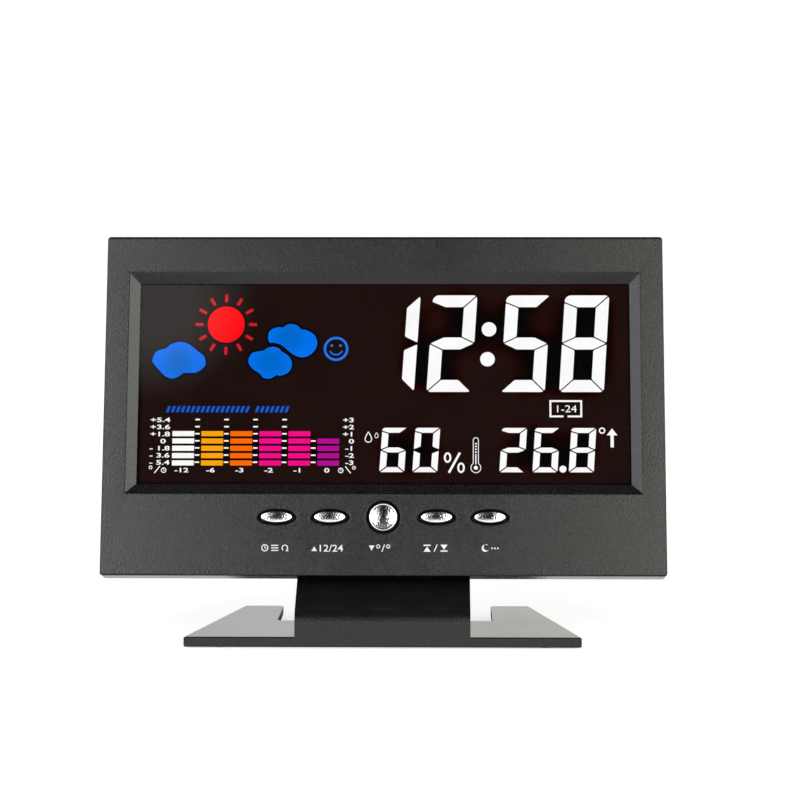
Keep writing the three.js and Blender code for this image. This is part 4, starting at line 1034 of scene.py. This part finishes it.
# A slash, a ring and a small dial at the foot of each scale
unit_marks = [*stroke([(-71.6, 32.5), (-69.9, 34.7)], 0.3), *stroke([(-12.0, 34.7), (-10.3, 32.5)], 0.3)]
for ring_x, dial_x in ((-72.8, -68.7), (-9.3, -13.4)):
    unit_marks += hoop(ring_x, 34.25, 0.45, 0.26, 20) + hoop(dial_x, 33.4, 0.72, 0.26, 24)
    unit_marks += stroke([(dial_x, 33.95), (dial_x, 33.4), (dial_x + 0.3, 33.25)], 0.2)
printed("chart_scale", [*scale, cut_out(unit_marks)], lit_depth, white_light)

# Backlight and carrier frame
# A white styrene frame holds the glass, its rubber contact strip, and the acrylic light guide with three
# lamps along its upper edge.
frame_plastic = moulded("frame_plastic", srgb(226, 226, 222), grain=0.0008, speckle=0.08, drift=0.06,
                        rubbed=0.1)
guide_plastic = moulded("guide_plastic", srgb(232, 236, 238), grain=0.0015, speckle=0.06, drift=0.03,
                        roughness=0.25)
contact_rubber = moulded("contact_rubber", srgb(60, 62, 66), grain=0.0002, speckle=0.6, drift=0.2,
                         roughness=0.75, relief=0.00002)
lamp_body = moulded("lamp_body", srgb(238, 234, 206), grain=0.0005, drift=0.3, roughness=0.35)
dress(frame_plastic, "display_frame")
dress(guide_plastic, "light_guide")
dress(contact_rubber, "lcd_contact_strip")
dress(lamp_body, "backlight_led_1", "backlight_led_2", "backlight_led_3")

# Main board and the parts on it
# Green glass-fibre board with copper tracks under the solder mask. It carries a resin-covered clock chip,
# a crystal can, the buzzer, a microphone, the climate sensor, the supply jack and a slide switch.
board_skin, tree = blank(bpy.data.materials, "solder_mask")
place = own_place(tree)
board_lean = math.radians(75.7)
along_board = add(tree, "ShaderNodeMapping", {"Vector": place, "Rotation": (board_lean, 0, 0)}).outputs[0]
tracks = add(tree, "ShaderNodeTexBrick", {
    "Vector": along_board, "Scale": 160.0, "Mortar Size": 0.09, "Mortar Smooth": 0.2, "Brick Width": 1.9,
    "Row Height": 0.42, "Color1": srgb(20, 84, 48), "Color2": srgb(24, 92, 54),
    "Mortar": srgb(58, 128, 74)}).outputs
bump = add(tree, "ShaderNodeBump", {"Height": tracks["Fac"], "Distance": 0.00003})
shade(tree, {"Base Color": tracks["Color"], "Roughness": step(noise(place, 1800.0), 0.3, 0.7, 0.3, 0.5),
             "Normal": bump.outputs["Normal"]})
black_part = moulded("black_part", srgb(26, 26, 28), speckle=0.4, rubbed=0.15, relief=0.00002)
tinned_steel = metal("tinned_steel", srgb(196, 198, 202), roughness=0.26, wave=0.002, relief=0.00002)
sensor_shell = moulded("sensor_shell", srgb(222, 222, 216), grain=0.0006, roughness=0.55, rubbed=0.05)
dress(board_skin, "main_board")
dress(black_part, "clock_chip", "buzzer", "dc_jack", "slide_switch_knob")
dress(tinned_steel, "clock_crystal", "microphone", "slide_switch_body")
dress(sensor_shell, "climate_sensor")
for number in range(1, 6):
    dress(black_part, f"tact_switch_{number}", f"tact_plunger_{number}")

# Battery cells and contacts
# Three AAA cells side by side, every second one turned round, between nickel-plated contact plates with
# conical springs at the flat ends.
cell_sleeve, tree = blank(bpy.data.materials, "cell_sleeve")
print_grain = noise(own_place(tree), 900.0)
sleeve_colour = blend("MIX", step(print_grain, 0.3, 0.7), srgb(38, 84, 148), srgb(46, 96, 164))
shade(tree, {"Base Color": sleeve_colour, "Roughness": step(print_grain, 0.3, 0.7, 0.25, 0.35)})
nickel = metal("nickel_plate", srgb(205, 202, 194), roughness=0.2, wave=0.0015, relief=0.00002)
dress(cell_sleeve, "battery_1", "battery_2", "battery_3")
dress(nickel, "contact_positive", "contact_negative", "contact_link_lower", "contact_link_upper")

# Rear cover
# The back shell of the case, moulded in the same ABS with a coarser grain, drafted and rounded. It has
# the battery bay and its door runners, vents, sound slots, screw wells and openings for jack and switch.


def softened(node, name, material, slot, width, body="housing", segments=3):
    """A merged copy of a CAD node's mesh with its sharp edges rounded, which stands for the node."""
    made = frame["nodes"][node].data.copy()
    made.name = name
    work = bmesh.new()
    work.from_mesh(made)
    bmesh.ops.remove_doubles(work, verts=work.verts, dist=2e-6)
    bmesh.ops.dissolve_limit(work, angle_limit=math.radians(0.4), verts=work.verts, edges=work.edges)
    work.to_mesh(made)
    work.free()
    piece = shaded(name, made, material, 40.0)
    rounding = piece.modifiers.new("rounding", "BEVEL")
    rounding.width = width * mm
    rounding.segments = segments
    rounding.limit_method = "ANGLE"
    rounding.angle_limit = math.radians(50)
    rounding.use_clamp_overlap = True
    even(piece)
    hand_over(piece, slot, node, body=body)


cover_plastic = moulded("cover_plastic", srgb(40, 40, 42), grain=0.0007, speckle=0.5, drift=0.14, rubbed=0.22,
                        relief=0.00005)
softened("rear_cover", "cover_moulding", cover_plastic, "black_plastic", 0.2)

# Battery door
# A flat ABS door that slides down in the cover's runners, with five grip grooves across it.
softened("battery_door", "door_moulding", cover_plastic, "black_plastic", 0.15, body="battery_hatch")

# Screws
# Self-tapping steel screws with cross recesses: four hold the cover to the bezel's bosses and four hold
# the board to its posts.
screw_steel = metal("screw_steel", srgb(120, 120, 124), roughness=0.28, wave=0.001, relief=0.00001)
for kind in ("case_screw", "board_screw"):
    for number in range(1, 5):
        node = f"{kind}_{number}"
        softened(node, f"{node}_finished", screw_steel, "steel", 0.08, segments=2)

# Stand
# One ABS moulding with a satin face: a flat base with two legs to the back, and a neck that rises flush
# from its front edge, bends back and plugs into the head.
stand_plastic = moulded("stand_plastic", srgb(26, 26, 26), grain=0.00042, speckle=0.9, roughness=0.16,
                        rubbed=0.1, relief=0.000025, specular=0.48, dull=0.05)
softened("stand", "stand_moulding", stand_plastic, "stand_plastic", 0.12)

# Feet
# Four stamped discs of black rubber glued in shallow pockets under the base.
foot_rubber = moulded("foot_rubber", srgb(30, 30, 31), speckle=0.5, drift=0.2, roughness=0.85, relief=0.00004)
for number in range(1, 5):
    node = f"rubber_foot_{number}"
    softened(node, f"{node}_pad", foot_rubber, "rubber", 0.2)
